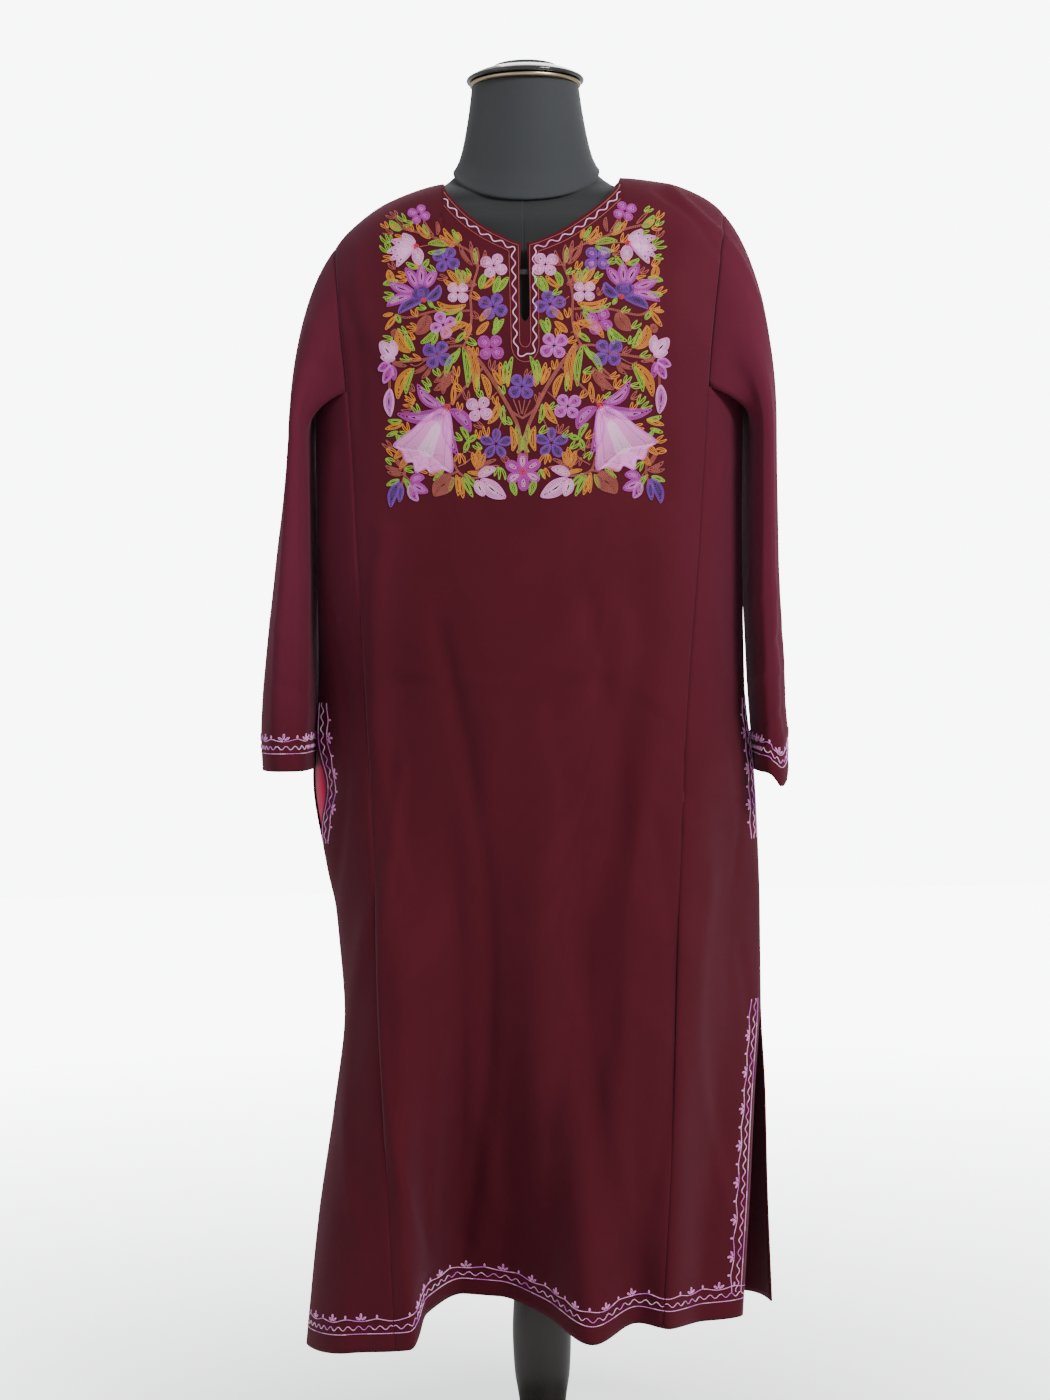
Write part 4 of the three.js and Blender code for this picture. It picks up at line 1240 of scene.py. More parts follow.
# Single leaves and petals of one side: colour, base, tip, width and bend sideways as a share of length
LEAVES = (
    ("green", 118, 124, 130, 138, 7, 0.1),
    ("gold", 122, 128, 131, 131, 4, 0),
    ("rust", 112, 126, 126, 142, 3, 0),
    ("gold", 88, 114, 104, 132, 5, 0.1),
    ("green", 90, 117, 97, 130, 5, 0),
    ("rust", 86, 118, 96, 136, 4, 0.1),
    ("rust", 84, 118, 84, 134, 4, -0.1),
    ("gold", 62, 107, 76, 126, 5, 0.1),
    ("gold", 65, 105, 80, 119, 5, 0.1),
    ("green", 60, 108, 68, 125, 4, 0),
    ("gold", 58, 110, 62, 122, 4, 0),
    ("green", 72, 107, 94, 109, 6, -0.1),
    ("green", 72, 104, 92, 100, 5, 0.1),
    ("rust", 46, 84, 60, 112, 4, 0.1),
    ("rust", 45, 84, 51, 112, 4, 0),
    ("rust", 44, 84, 44, 106, 4, -0.05),
    ("green", 43, 86, 45, 104, 4, 0),
    ("rust", 40, 84, 34, 102, 4, -0.1),
    ("rust", 43, 64, 60, 81, 8, 0.2),
    ("green", 102, 84, 114, 92, 5, 0.1),
    ("green", 101, 83, 92, 94, 5, -0.1),
    ("gold", 102, 84, 104, 94, 4, 0),
    ("gold", 126, 70, 130, 86, 7, 0.1),
    ("green", 122, 72, 137, 69, 6, 0),
    ("green", 121, 55, 136, 54, 6, 0.1),
    ("gold", 58, 64, 73, 82, 6, 0),
    ("green", 57, 65, 65, 84, 5, 0),
    ("gold", 59, 63, 76, 72, 5, 0.1),
    ("green", 55, 65, 57, 82, 5, 0),
    ("gold", 54, 65, 49, 78, 4, 0),
    ("green", 39, 60, 33, 78, 6, 0.1),
    ("gold", 38, 60, 25, 75, 5, -0.1),
    ("green", 24, 56, 13, 74, 6, 0),
    ("green", 26, 55, 20, 74, 6, 0),
    ("gold", 40, 26, 28, 41, 6, 0),
    ("gold", 54, 45, 84, 50, 7, 0.22),
    ("green", 56, 42, 88, 45, 5, 0.2),
    ("green", 88, 42, 92, 50, 4, 0),
    ("gold", 123, 37, 136, 20, 5, 0),
    ("green", 124, 37, 118, 28, 5, 0),
    ("gold", 126, 38, 138, 36, 4, 0),
    ("rust", 92, 36, 106, 16, 12, 0.12),
    ("green", 84, 20, 101, 6, 6, 0.1),
    ("green", 82, 18, 88, 3, 5, 0),
    ("gold", 52, 24, 79, 8, 8, -0.2),
    ("green", 54, 16, 66, 5, 5, 0),
    ("gold", 50, 26, 56, 8, 6, 0),
    ("green", 58, 38, 66, 22, 5, 0),
    ("green", 27, 12, 17, 29, 6, 0.05),
    ("green", 26, 14, 25, 31, 5, 0),
    ("gold", 44, 14, 31, 26, 6, 0),
    ("gold", 109, -2, 121, 22, 10, 0.16),
    ("green", 105, -1, 114, 20, 6, 0.1),
    ("gold", 108, -17, 124, -49, 9, -0.12),
    ("green", 105, -18, 115, -45, 6, -0.1),
    ("green", 62, -2, 75, -28, 6, -0.12),
    ("green", 60, 2, 68, -14, 4, 0),
    ("rust", 68, -20, 87, -42, 8, 0.12),
    ("rust", 74, -20, 88, -32, 5, 0.1),
    ("rust", 70, -24, 78, -46, 6, -0.1),
    ("gold", 53, 4, 47, -44, 8, 0.08),
    ("green", 58, 2, 53, -42, 6, 0.06),
    ("gold", 40, -26, 32, -52, 6, 0.1),
    ("green", 44, -24, 42, -46, 4, 0),
    ("gold", 66, -34, 68, -58, 5, 0),
    ("gold", 19, -38, 28, -20, 5, 0),
    ("gold", 18, -37, 22, -14, 5, 0),
    ("green", 17, -36, 15, -12, 5, 0),
    ("green", 15, -38, 8, -8, 5, 0.05),
    ("gold", 14, -40, 12, -22, 4, 0),
    ("gold", 22, -54, 34, -76, 7, 0.1),
    ("green", 19, -56, 15, -78, 5, -0.1),
    ("gold", 12, -78, 11, -104, 6, 0.12),
    ("green", 6, -76, -6, -106, 6, -0.12),
    ("green", 62, -76, 54, -92, 5, 0.1),
    ("green", 54, -92, 44, -88, 5, 0),
    ("green", 54, -91, 58, -104, 5, 0),
    ("gold", 45, -120, 50, -102, 6, 0),
    ("gold", 44, -119, 43, -100, 6, 0),
    ("gold", 43, -118, 37, -103, 5, 0),
    ("rust", 46, -122, 36, -106, 4, 0.1),
    ("rust", 44, -124, 26, -110, 4, 0.1),
    ("rust", 42, -126, 22, -118, 4, 0.1),
    ("green", 118, -70, 134, -68, 5, 0.1),
    ("gold", 118, -74, 137, -77, 5, 0),
    ("green", 122, -80, 136, -84, 4, 0),
    ("gold", 116, -96, 130, -108, 6, 0),
    ("gold", 112, -104, 122, -118, 6, 0),
    ("green", 119, -92, 126, -82, 4, 0),
    ("rust", 118, -120, 137, -112, 4, 0.1),
    ("rust", 118, -122, 136, -120, 4, 0.1),
    ("rust", 119, -118, 130, -104, 4, 0),
    ("green", 120, -126, 112, -148, 5, 0.15),
    ("green", 122, -128, 136, -134, 5, 0),
    ("gold", 75, -116, 93, -125, 5, 0),
    ("green", 77, -120, 90, -130, 4, 0),
    ("gold", 66, -124, 64, -146, 5, 0.05),
    ("gold", 63, -126, 58, -148, 5, 0),
    ("green", 60, -126, 49, -148, 5, 0),
    ("green", 58, -124, 42, -142, 5, 0),
    ("green", 68, -126, 73, -142, 4, 0),
    ("gold", 56, -122, 38, -126, 4, 0),
    ("green", 12, -130, 6, -148, 6, 0),
    ("rust", 112, -16, 132, -6, 4, 0.1),
    ("rust", 92, -14, 110, -22, 4, 0.1),
    ("rust", 90, -16, 100, -28, 4, 0.1),
    ("rust", 127, 14, 125, 24, 7, 0),
)
# A round flower's petals: sizes in turn, width where four or more, start, bend and lift in turn
ROUND = {"sizes": (1.12, 1.04), "four": 0.86, "more": 0.6, "start": 0.06, "bend": 0.02, "lift": 0.12}
# Round flowers: petals, out, up, reach, turn in degrees, outer and inner colours of the left and right
ROUND_FLOWERS = (
    (4, 101, 141, 11, 20, ("magenta", "lilac"), ("magenta", "lilac")),
    (4, 74, 92, 13.5, 40, ("violet", "dark_violet"), ("violet", "lilac")),
    (4, 25, 85, 13, 30, ("pale_pink", "white"), ("pale_pink", "white")),
    (4, 61, 57, 11.5, 45, ("pale_pink", "white"), ("pale_pink", "white")),
    (4, 28, 43, 14, 25, ("violet", "dark_violet"), ("violet", "dark_violet")),
    (4, 76, 25, 13, 60, ("lilac", "magenta"), ("magenta", "lilac")),
    (4, 31, 1, 13.5, 35, ("magenta", "lilac"), ("lilac", "magenta")),
    (4, 83, -6, 14.5, 35, ("violet", "dark_violet"), ("violet", "dark_violet")),
    (4, 43, -59, 13, 40, ("pale_pink", "white"), ("lilac", "magenta")),
    (5, 27, -94, 15, 18, ("violet", "dark_violet"), ("violet", "dark_violet")),
)
MIDDLE_FLOWERS = (
    (4, 0, -39, 13.5, 35, ("violet", "dark_violet")),
    (6, 0, -123, 17.5, 30, ("magenta", "pale_pink")),
)
# Petals of the larger flowers of one side: colours, base, tip, width and bend
PETALS = (
    # spray flower by the shoulder
    ("pale_pink", "white", 105, 107, 133, 101, 8, 0.05),
    ("pale_pink", "white", 105, 107, 131, 93, 8, 0.05),
    ("pale_pink", "white", 106, 106, 124, 86, 8, 0.1),
    ("pale_pink", "white", 105, 109, 130, 115, 8, -0.05),
    ("pale_pink", "white", 104, 110, 118, 122, 8, -0.1),
    ("pale_pink", "white", 102, 106, 100, 87, 10, 0.05),
    # lily
    ("magenta", "lilac", 102, 62, 115, 86, 9, 0.05),
    ("magenta", "lilac", 99, 64, 98, 88, 9, 0),
    ("magenta", "lilac", 95, 63, 82, 82, 9, -0.05),
    ("magenta", "lilac", 106, 60, 132, 70, 9, -0.05),
    ("magenta", "lilac", 106, 55, 134, 47, 9, 0.1),
    ("violet", "dark_violet", 98, 50, 122, 38, 9, 0.14),
    ("violet", "dark_violet", 94, 52, 80, 66, 9, 0.2),
    ("dark_violet", "violet", 108, 58, 90, 60, 15, 0),
    # bell flower: its body, then the sepals and the cup over it
    ("magenta", "lilac", 75, -57, 103, -33, 9, -0.16),
    ("magenta", "lilac", 76, -58, 125, -61, 10, -0.14),
    ("magenta", "lilac", 72, -60, 51, -83, 10, -0.14),
    ("magenta", "lilac", 73, -60, 64, -107, 9, 0.1),
    ("magenta", "dark_violet", 76, -62, 90, -70, 8, 0),
    # pale tulip at the bottom
    ("pale_pink", "white", 42, -129, 16, -149, 13, 0.05),
    ("pale_pink", "white", 44, -128, 26, -120, 8, -0.1),
    ("pale_pink", "white", 45, -130, 38, -148, 9, 0.05),
    # magenta tulip, violet bud and rust drops
    ("magenta", "lilac", 112, -130, 96, -127, 8, -0.1),
    ("magenta", "lilac", 112, -132, 94, -141, 9, 0.05),
    ("lilac", "magenta", 112, -133, 104, -150, 8, 0.1),
    ("violet", "dark_violet", 122, -130, 132, -156, 8, 0.1),
    ("violet", "dark_violet", 120, -131, 122, -152, 6, 0),
    ("rust", "rust", 68, -128, 88, -146, 15, 0.1),
    # buds at the sides
    ("pale_pink", "white", 126, -8, 140, 10, 11, 0),
    ("pale_pink", "white", 126, -6, 128, 12, 8, 0),
    ("pale_pink", "white", 125, -9, 140, -4, 7, 0),
    ("lilac", "magenta", 130, -12, 143, -18, 8, 0),
    ("lilac", "magenta", 129, -14, 138, -32, 8, 0),
    ("magenta", "lilac", 128, -14, 126, -30, 6, 0),
    ("pale_pink", "lilac", 131, -36, 131, -66, 9, 0.05),
)
# Where no leaf is filled in: above a line beside the neckline, and beside the slit
NECK_FILL = (72, 0.6)
SLIT_FILL = (26, -22)
# The fans of small leaves in bare places: where and how bare, and the leaves' length, turn and colours
FILL = {
    "up": (-126, 156),
    "out": (3, 137),
    "step": 5.0,
    "drift": 1.6,
    "top": 148,
    "gap": 3.3,
    "wide_gap": 5,
    "length": 7.5,
    "growth": 1.4,
    "longest": 17.0,
    "lean": 55,
    "sway": 35,
    "turned_below": -96,
    "spread": 22,
    "width": 3.3,
    "colors": ("green", "gold", "green", "rust", "gold"),
}
# The large bell: its base, its tip and its width, and one half of its outline as shares
BELL = ((76, -60), (106, -122), 66)
BELL_OUTLINE = (
    (0, 0.14), (0.2, 0.44), (0.45, 0.66), (0.76, 1.0), (0.8, 0.7), (0.92, 0.42), (0.88, 0.22),
    (1.0, 0),
)
# Its rows shrink towards this part of its middle, with lilac rows, and white ones from a share on
BELL_MIDDLE = (0.3, 0.66)
BELL_LILAC = (0, 1, 8)
BELL_WHITE = 0.7
# The red knots: out, up and radius
RED_DOTS = ((104, 107, 2.6), (96, 51, 2.4), (74, -58, 3.0))
# Stems of one side as points, with how many rows of chain each has
STEMS = (
    (3, ((3, -110), (4, -84), (12, -62), (26, -36), (42, -12), (58, 2))),
    (
        2,
        ((58, 2), (52, 12), (49, 30), (49, 52), (46, 70), (42, 86), (50, 99), (62, 107), (80, 113),
         (104, 122), (126, 128)),
    ),
    (2, ((50, 38), (66, 39), (84, 38), (112, 33), (124, 38))),
    (1, ((62, 107), (82, 109), (103, 107))),
    (1, ((44, 84), (34, 84), (28, 84))),
    (1, ((49, 60), (56, 58), (60, 57))),
    (1, ((46, 50), (38, 46), (30, 44))),
    (2, ((58, 2), (70, 2), (84, -6), (104, -10), (124, -12), (131, -22), (131, -38))),
    (1, ((94, -10), (104, -16), (110, -14))),
    (2, ((38, -20), (56, -38), (66, -50), (74, -58))),
    (1, ((48, 14), (60, 20), (76, 25))),
    (1, ((44, -8), (36, -4), (31, 0))),
    (2, ((20, -46), (12, -62), (0, -70))),
    (1, ((3, -52), (1, -66))),
    (1, ((8, -52), (3, -66))),
    (1, ((24, -44), (34, -54), (42, -58))),
    (1, ((16, -62), (22, -78), (27, -92))),
    (2, ((74, -92), (70, -108), (64, -122), (52, -128), (40, -128))),
    (
        2,
        ((64, -122), (74, -124), (86, -122), (92, -114), (88, -106), (81, -106), (79, -113),
         (84, -116)),
    ),
    (1, ((64, -116), (56, -112), (50, -106), (54, -101), (59, -104), (57, -108))),
    (2, ((120, -92), (118, -108), (118, -124), (121, -136))),
    (1, ((118, -122), (112, -130))),
)
# The borders: how far in their rows lie, the wave's swing, the vine's hang, and the repeats' lengths
BORDER = {
    "straight": 19,
    "wave": 25,
    "vine": 32,
    "swing": 2.1,
    "hang": 2.6,
    "repeat": 39,
    "cuff_repeat": 28,
}
# The vine's trefoils and buds: their sizes, how wide and spread their petals are, and their margin
SPRIG = {"trefoil": 7.0, "bud": 4.0, "width": 3.0, "spread": 64, "margin": 6}
# Where the borders of the side slits end, and those of the pocket mouths
SIDE_SLIT_TOP = 506
POCKET_MOUTH = (676, 828)
# How a leaf and a petal swell along their spines
SWELL = {"leaf": (0.92, 0.72), "drop": (1.3, 0.62)}


def width_at(kind, t):
    """Half width of a petal or leaf along its spine, as a share of its greatest."""
    lean, fullness = SWELL[kind]
    return np.sin(np.pi * t**lean) ** fullness


def sideways(line):
    """The direction across a line at each of its points."""
    slope = unit(np.gradient(line, axis=0))
    return np.stack([-slope[:, 1], slope[:, 0]], -1)


def walked(line):
    """How far along a line each of its points is."""
    steps = np.linalg.norm(np.diff(line, axis=0), axis=1)
    return np.concatenate([[0], np.cumsum(steps)])


def points_along(line, marks):
    """The points of a line at some distances along it."""
    way = walked(line)
    return np.stack([np.interp(marks, way, line[:, i]) for i in range(2)], -1)


def spine_point(base, tip, bend, t):
    """Points along a leaf's spine, bowed sideways."""
    base, tip = np.array(base, float), np.array(tip, float)
    along = tip - base
    side = np.array([-along[1], along[0]])
    return base + along * t[:, None] + side * (bend * np.sin(np.pi * t))[:, None]


def leaf_rows(base, tip, width, bend, kind="leaf"):
    """Rows of chain that fill a leaf or petal, from its outline in to its middle."""
    t = np.linspace(0, 1, 41)
    spine = spine_point(base, tip, bend, t)
    side = sideways(spine)
    length = float(walked(spine)[-1])
    rows = []
    inset = STITCH["width"] * 0.5
    while inset < width / 2 + 0.2:
        half = width_at(kind, t) * width / 2 - inset
        inside = (half > 0) & (t * length > inset) & ((1 - t) * length > inset)
        if inside.sum() < 3:
            break
        left = spine[inside] + side[inside] * half[inside, None]
        right = spine[inside] - side[inside] * half[inside, None]
        depth = inset / (width / 2)
        if half.max() < STITCH["row"] * 0.45:
            rows.append((depth, spine[inside]))
            break
        rows.append((depth, np.concatenate([left, right[::-1], left[:1]])))
        inset += STITCH["row"]
    return rows


def smooth_line(points, steps=8):
    """A smooth line through a few points."""
    points = np.array(points, float)
    fine = np.linspace(0, len(points) - 1, (len(points) - 1) * steps + 1)
    before = np.concatenate([points[:1], points[:-1]])
    after = np.concatenate([points[1:], points[-1:]])
    slope = (after - before) / 2
    index = np.minimum(fine.astype(int), len(points) - 2)
    t = (fine - index)[:, None]
    return hermite(points[index], slope[index], points[index + 1], slope[index + 1], t)


def beside(line, distance):
    """A line moved sideways in its plane."""
    return line + sideways(line) * distance


class Stitching:
    """Chain stitches gathered by thread colour, each from one end to the other on the cloth."""

    def __init__(self):
        self.ends = {}

    def row(self, color, line, place, lift=0.0, pitch=STITCH["length"], width=STITCH["width"]):
        """Lays a row of stitches along a line, where place turns its points into cloth points."""
        line = np.asarray(line, float)
        total = walked(line)[-1]
        if total < pitch * 0.6:
            return
        count = max(1, round(total / pitch))
        marks = np.linspace(0, total, count + 1)
        found, normals = place(points_along(line, marks))
        for i in range(count):
            if found[i] is None or found[i + 1] is None:
                continue
            name = color(marks[i]) if callable(color) else color
            self.ends.setdefault(name, []).append((*found[i], *found[i + 1], *normals[i], lift, width))

    def pieces(self, word):
        """One piece for each thread colour."""
        for color in sorted(self.ends):
            self.mesh(word + "_thread_" + color, color)

    def mesh(self, name, color):
        """One piece of all the stitches of one colour."""
        rows = np.array(self.ends[color])
        start, end, normal = rows[:, 0:3], rows[:, 3:6], rows[:, 6:9]
        lift, width = rows[:, 9:10], rows[:, 10:11]
        along = end - start
        length = np.linalg.norm(along, axis=1, keepdims=True)
        along /= np.maximum(length, 1e-6)
        across = unit(np.cross(normal, along))
        up = np.cross(along, across)
        middle = (start + end) / 2 + up * lift
        grain, faces = stitch_grain()
        points = (
            middle[:, None]
            + along[:, None] * (grain[None, :, :1] * (length * STITCH["overlap"])[:, None])
            + across[:, None] * (grain[None, :, 1:2] * width[:, None])
            + up[:, None] * (grain[None, :, 2:3] * STITCH["rise"])
        )
        count = len(grain)
        shift = (np.arange(len(rows)) * count)[:, None, None]
        all_faces = (faces[None] + shift).reshape(-1, faces.shape[1])
        mesh = bpy.data.meshes.new(name)
        mesh.from_pydata((points.reshape(-1, 3) * MM).tolist(), [], all_faces.tolist())
        placed(mesh, name, thread_material(color), "wool")


def stitch_grain():
    """One chain stitch of size 1, a low grain with a narrow tail: its points and faces."""
    bm = bmesh.new()
    bmesh.ops.create_cube(bm, size=1)
    for vert in bm.verts:
        top = vert.co.z > 0
        vert.co.y *= GRAIN["tail"] if vert.co.x < 0 else GRAIN["head"]
        if top:
            vert.co.x *= GRAIN["top_length"]
            vert.co.y *= GRAIN["top_width"]
        vert.co.z = 1.0 if top else GRAIN["sunk"]
    bm.verts.ensure_lookup_table()
    points = np.array([vert.co[:] for vert in bm.verts])
    faces = np.array([[vert.index for vert in face.verts] for face in bm.faces])
    bm.free()
    return points, faces


def on_front(tree, direction=1):
    """Places points (x, height) on the front cloth, or on the back with direction -1."""

    def place(points):
        found, normals = [], []
        for x, height in points:
            start = Vector((x * MM, -direction, height * MM))
            hit, normal, _, _ = tree.ray_cast(start, Vector((0, direction, 0)))
            if hit is None:
                found.append(None)
                normals.append((0, 0, 0))
            else:
                if normal.y * direction > 0:
                    normal = -normal
                found.append(tuple(hit / MM))
                normals.append(tuple(normal))
        return found, normals

    return place


def on_stencil(side, place):
    """Places points of the stencil, (out, up), on the front cloth's left or right."""

    def put(points):
        scale = np.where(side * points[:, 0] < 0, STENCIL["scale"][-1], STENCIL["scale"][1])
        x = STENCIL["x"] + side * scale * points[:, 0]
        height = STENCIL["height"] + STENCIL["up"] * points[:, 1]
        return place(np.stack([x, height], -1))

    return put


def sew_leaf(stitching, place, colors, base, tip, width, bend, kind, lift=0.0):
    outer, inner = colors
    for depth, row in leaf_rows(base, tip, width, bend, kind):
        stitching.row(inner if depth > 0.55 else outer, row, place, lift)


def sew_round_flower(stitching, place, count, centre, reach, turn, colors):
    for k in range(count):
        angle = math.radians(turn + 360 * k / count)
        way = np.array([math.cos(angle), math.sin(angle)])
        size = reach * ROUND["sizes"][k % 2]
        width = size * (ROUND["four"] if count == 4 else ROUND["more"])
        base = np.array(centre) + way * ROUND["start"] * size
        tip = np.array(centre) + way * size
        lift = ROUND["lift"] * (k % 2)
        sew_leaf(stitching, place, colors, base, tip, width, ROUND["bend"], "drop", lift)


def sew_bell(stitching, place, base, tip, width):
    """A bell with a three-pointed lip, in rows of chain from its outline inwards."""
    base, tip = np.array(base, float), np.array(tip, float)
    along = tip - base
    across = np.array([-along[1], along[0]]) * width / 2 / np.linalg.norm(along)
    half = np.array(BELL_OUTLINE)
    outline_points = np.concatenate([half, half[-2::-1] * [1, -1], half[:1]])
    line = smooth_line(outline_points, 6)
    middle = np.stack([np.clip(line[:, 0], *BELL_MIDDLE), 0 * line[:, 0]], -1)
    rows = int(width / 2 / STITCH["row"])
    for k in range(rows):
        shares = middle + (line - middle) * (1 - (k + 0.4) / rows)
        points = base + along * shares[:, :1] + across * shares[:, 1:]
        color = "white" if k > rows * BELL_WHITE else "pale_pink"
        color = "lilac" if k in BELL_LILAC else color
        stitching.row(color, points, place, 0.2)


def sew_dot(stitching, place, centre, radius):
    angle = np.linspace(0, 2 * math.pi, 13)
    for share in (1.0, 0.45):
        ring = np.array(centre) + radius * share * np.stack([np.cos(angle), np.sin(angle)], -1)
        stitching.row("red", ring, place, 0.5, 1.6)


class Noted:
    """Passes rows on to the stitching and keeps their points."""

    def __init__(self, stitching, rows=()):
        self.stitching = stitching
        self.rows = list(rows)

    def row(self, color, line, place, *rest):
        self.rows.append(np.asarray(line, float))
        self.stitching.row(color, line, place, *rest)


def fill_gaps(noted, place, drift):
    """Small fans of slim leaves wherever the yoke is still bare."""
    turn = 0
    for up in np.arange(*FILL["up"], FILL["step"]):
        for out in np.arange(*FILL["out"], FILL["step"]):
            at = np.array([out, up]) + drift.uniform(-FILL["drift"], FILL["drift"], 2)
            below_neck = at[1] < min(FILL["top"], NECK_FILL[0] + NECK_FILL[1] * at[0])
            by_slit = at[0] < SLIT_FILL[0] and at[1] > SLIT_FILL[1]
            if not below_neck or by_slit:
                continue
            taken = np.concatenate(noted.rows)
            gap = float(np.min(np.linalg.norm(taken - at, axis=1)))
            if gap < FILL["gap"]:
                continue
            reach = min(FILL["longest"], FILL["length"] + FILL["growth"] * gap)
            sway = drift.uniform(-FILL["sway"], FILL["sway"])
            turned = 180 if up < FILL["turned_below"] else 0
            lean = math.radians(90 - FILL["lean"] * out / 136 + sway + turned)
            start = at - reach / 2 * np.array([math.cos(lean), math.sin(lean)])
            color = FILL["colors"][turn % len(FILL["colors"])]
            for k in range(2 if gap < FILL["wide_gap"] else 3):
                angle = lean + math.radians((k - 1) * FILL["spread"])
                tip = start + reach * (1 - 0.12 * k) * np.array([math.cos(angle), math.sin(angle)])
                bend = 0.12 * (k - 1)
                sew_leaf(noted, place, (color, color), start, tip, FILL["width"], bend, "leaf", -0.1)
            turn += 1


def wandered(drift, ends, far):
    """The two ends of a leaf, each a little off its place."""
    wander = drift.normal(0, far, 4)
    return (ends[0] + wander[0], ends[1] + wander[1]), (ends[2] + wander[2], ends[3] + wander[3])


def sew_yoke(stitching, place):
    """The flowers of the yoke, nearly the same on both sides of the slit."""
    drift = np.random.default_rng(11)
    whole = stitching
    middle = Noted(whole)
    put = on_stencil(1, place)
    for count, out, up, reach, turn, colors in MIDDLE_FLOWERS:
        sew_round_flower(middle, put, count, (out, up), reach, turn, colors)
    for side in (-1, 1):
        stitching = Noted(whole, middle.rows)
        put = on_stencil(side, place)
        for color, *ends, width, bend in LEAVES:
            base, tip = wandered(drift, ends, 0.7)
            sew_leaf(stitching, put, (color, color), base, tip, width * 1.22, -bend, "leaf")
        for rows, points in STEMS:
            line = smooth_line(np.array(points) + drift.normal(0, 0.5, (len(points), 2)))
            for k in range(rows):
                stitching.row("rust", beside(line, (k - (rows - 1) / 2) * STITCH["row"]), put, 0.05)
        for outer, inner, *ends, width, bend in PETALS:
            base, tip = wandered(drift, ends, 0.5)
            sew_leaf(stitching, put, (outer, inner), base, tip, width * 1.25, bend, "leaf", 0.25)
        sew_bell(stitching, put, *BELL)
        for count, out, up, reach, turn, left, right in ROUND_FLOWERS:
            centre = np.array([out, up]) + drift.normal(0, 0.8, 2)
            tilt = turn + drift.normal(0, 6)
            sew_round_flower(stitching, put, count, centre, reach, tilt, left if side < 0 else right)
        for out, up, radius in RED_DOTS:
            sew_dot(stitching, put, (out, up), radius)
        fill_gaps(stitching, put, drift)
    sew_dot(whole, on_stencil(1, place), (0, -123), 3)


def zigzag(line, swing, repeat):
    """A row that sways to each side of a line."""
    total = walked(line)[-1]
    marks = np.linspace(0, total, max(2, int(total / 0.7)))
    fine = points_along(line, marks)
    return fine + sideways(fine) * (swing * np.sin(2 * math.pi * marks / repeat))[:, None]


# The length of one wave at the neckline, and how deep the rows' bowl below the slit is
NECK_WAVE = 15
BOWL_DEPTH = 1.3
# Neckline rows: distance from the neck edge and the slit's middle, how low they turn, and their swing
NECK_TRIM = (
    ("rust", 3.2, 5.6, 1188, 0),
    ("zigzag", 7.6, 9.8, 1179, 2.0),
    ("rust", 12.0, 14.0, 1173, 0),
)


def neck_line(edge, away, slit_away, low):
    """The path of a neckline row from one neck point to the other, down and round below the slit."""
    middle = SLIT["x"]
    x = np.linspace(NECK_POINTS[0] + 1, NECK_POINTS[1] - 1, 160)
    curve = np.stack([x, look_up(edge, "height", x, "x")], -1)
    lowered = beside(curve, -away)
    if slit_away is None:
        return lowered
    left = lowered[(lowered[:, 0] < middle - slit_away) & (lowered[:, 0] > NECK_POINTS[0] + 1)]
    right = lowered[(lowered[:, 0] > middle + slit_away) & (lowered[:, 0] < NECK_POINTS[1] - 1)]
    turn = np.linspace(math.pi, 2 * math.pi, 24)
    deep = slit_away * BOWL_DEPTH
    bowl = np.stack([middle + slit_away * np.cos(turn), low + deep + deep * np.sin(turn)], -1)
    return np.concatenate([left, bowl, right])


def variegated(first, second, third, reach):
    """A thread that changes its colour slowly along a row."""

    def pick(distance):
        value = math.sin(distance / reach * 2 * math.pi) + 0.6 * math.sin(distance / reach * 4.7 + 1.1)
        return first if value > 0.35 else (second if value > -0.5 else third)

    return pick


def sew_neckline(stitching, front_place, back_place):
    for kind, away, slit_away, low, swing in NECK_TRIM:
        for edge, slit, place in ((FRONT_NECK, slit_away, front_place), (BACK_NECK, None, back_place)):
            line = neck_line(edge, away, slit, low)
            if kind == "zigzag":
                color = variegated("white", "pale_pink", "white", 60)
                stitching.row(color, zigzag(line, swing, NECK_WAVE), place, 0.1, 1.7, 1.5)
            else:
                stitching.row("rust", line, place, 0, 2, 0.9)


def along_hem(cloth):
    """Places points (along the lower edge, up from it) on a piece of cloth."""
    last = cloth.points.shape[0] - 1
    near = 10

    def place(points):
        column = np.interp(points[:, 0], cloth.width[-1], np.arange(cloth.points.shape[1]))
        left = np.clip(column.astype(int), 0, cloth.points.shape[1] - 1)
        step = (cloth.length[-1, left] - cloth.length[-1 - near, left]) / near
        return [array.tolist() for array in cloth.sample(last - points[:, 1] / step, column)]

    return place, float(cloth.width[-1, -1])


def along_side(cloth, low, high):
    """Places points (up the side edge from low, in from it) on a gore."""
    height = cloth.points[:, -1, 2]
    bottom = float(np.interp(-low, -height, cloth.length[:, -1]))
    top = float(np.interp(-high, -height, cloth.length[:, -1]))

    def place(points):
        row = np.interp(bottom - points[:, 0], cloth.length[:, -1], np.arange(len(height)))
        column = []
        for at, inward in zip(row, points[:, 1]):
            width = cloth.width[int(at)]
            column.append(np.interp(width[-1] - inward, width, np.arange(len(width))))
        return [array.tolist() for array in cloth.sample(row, np.array(column))]

    return place, bottom - top


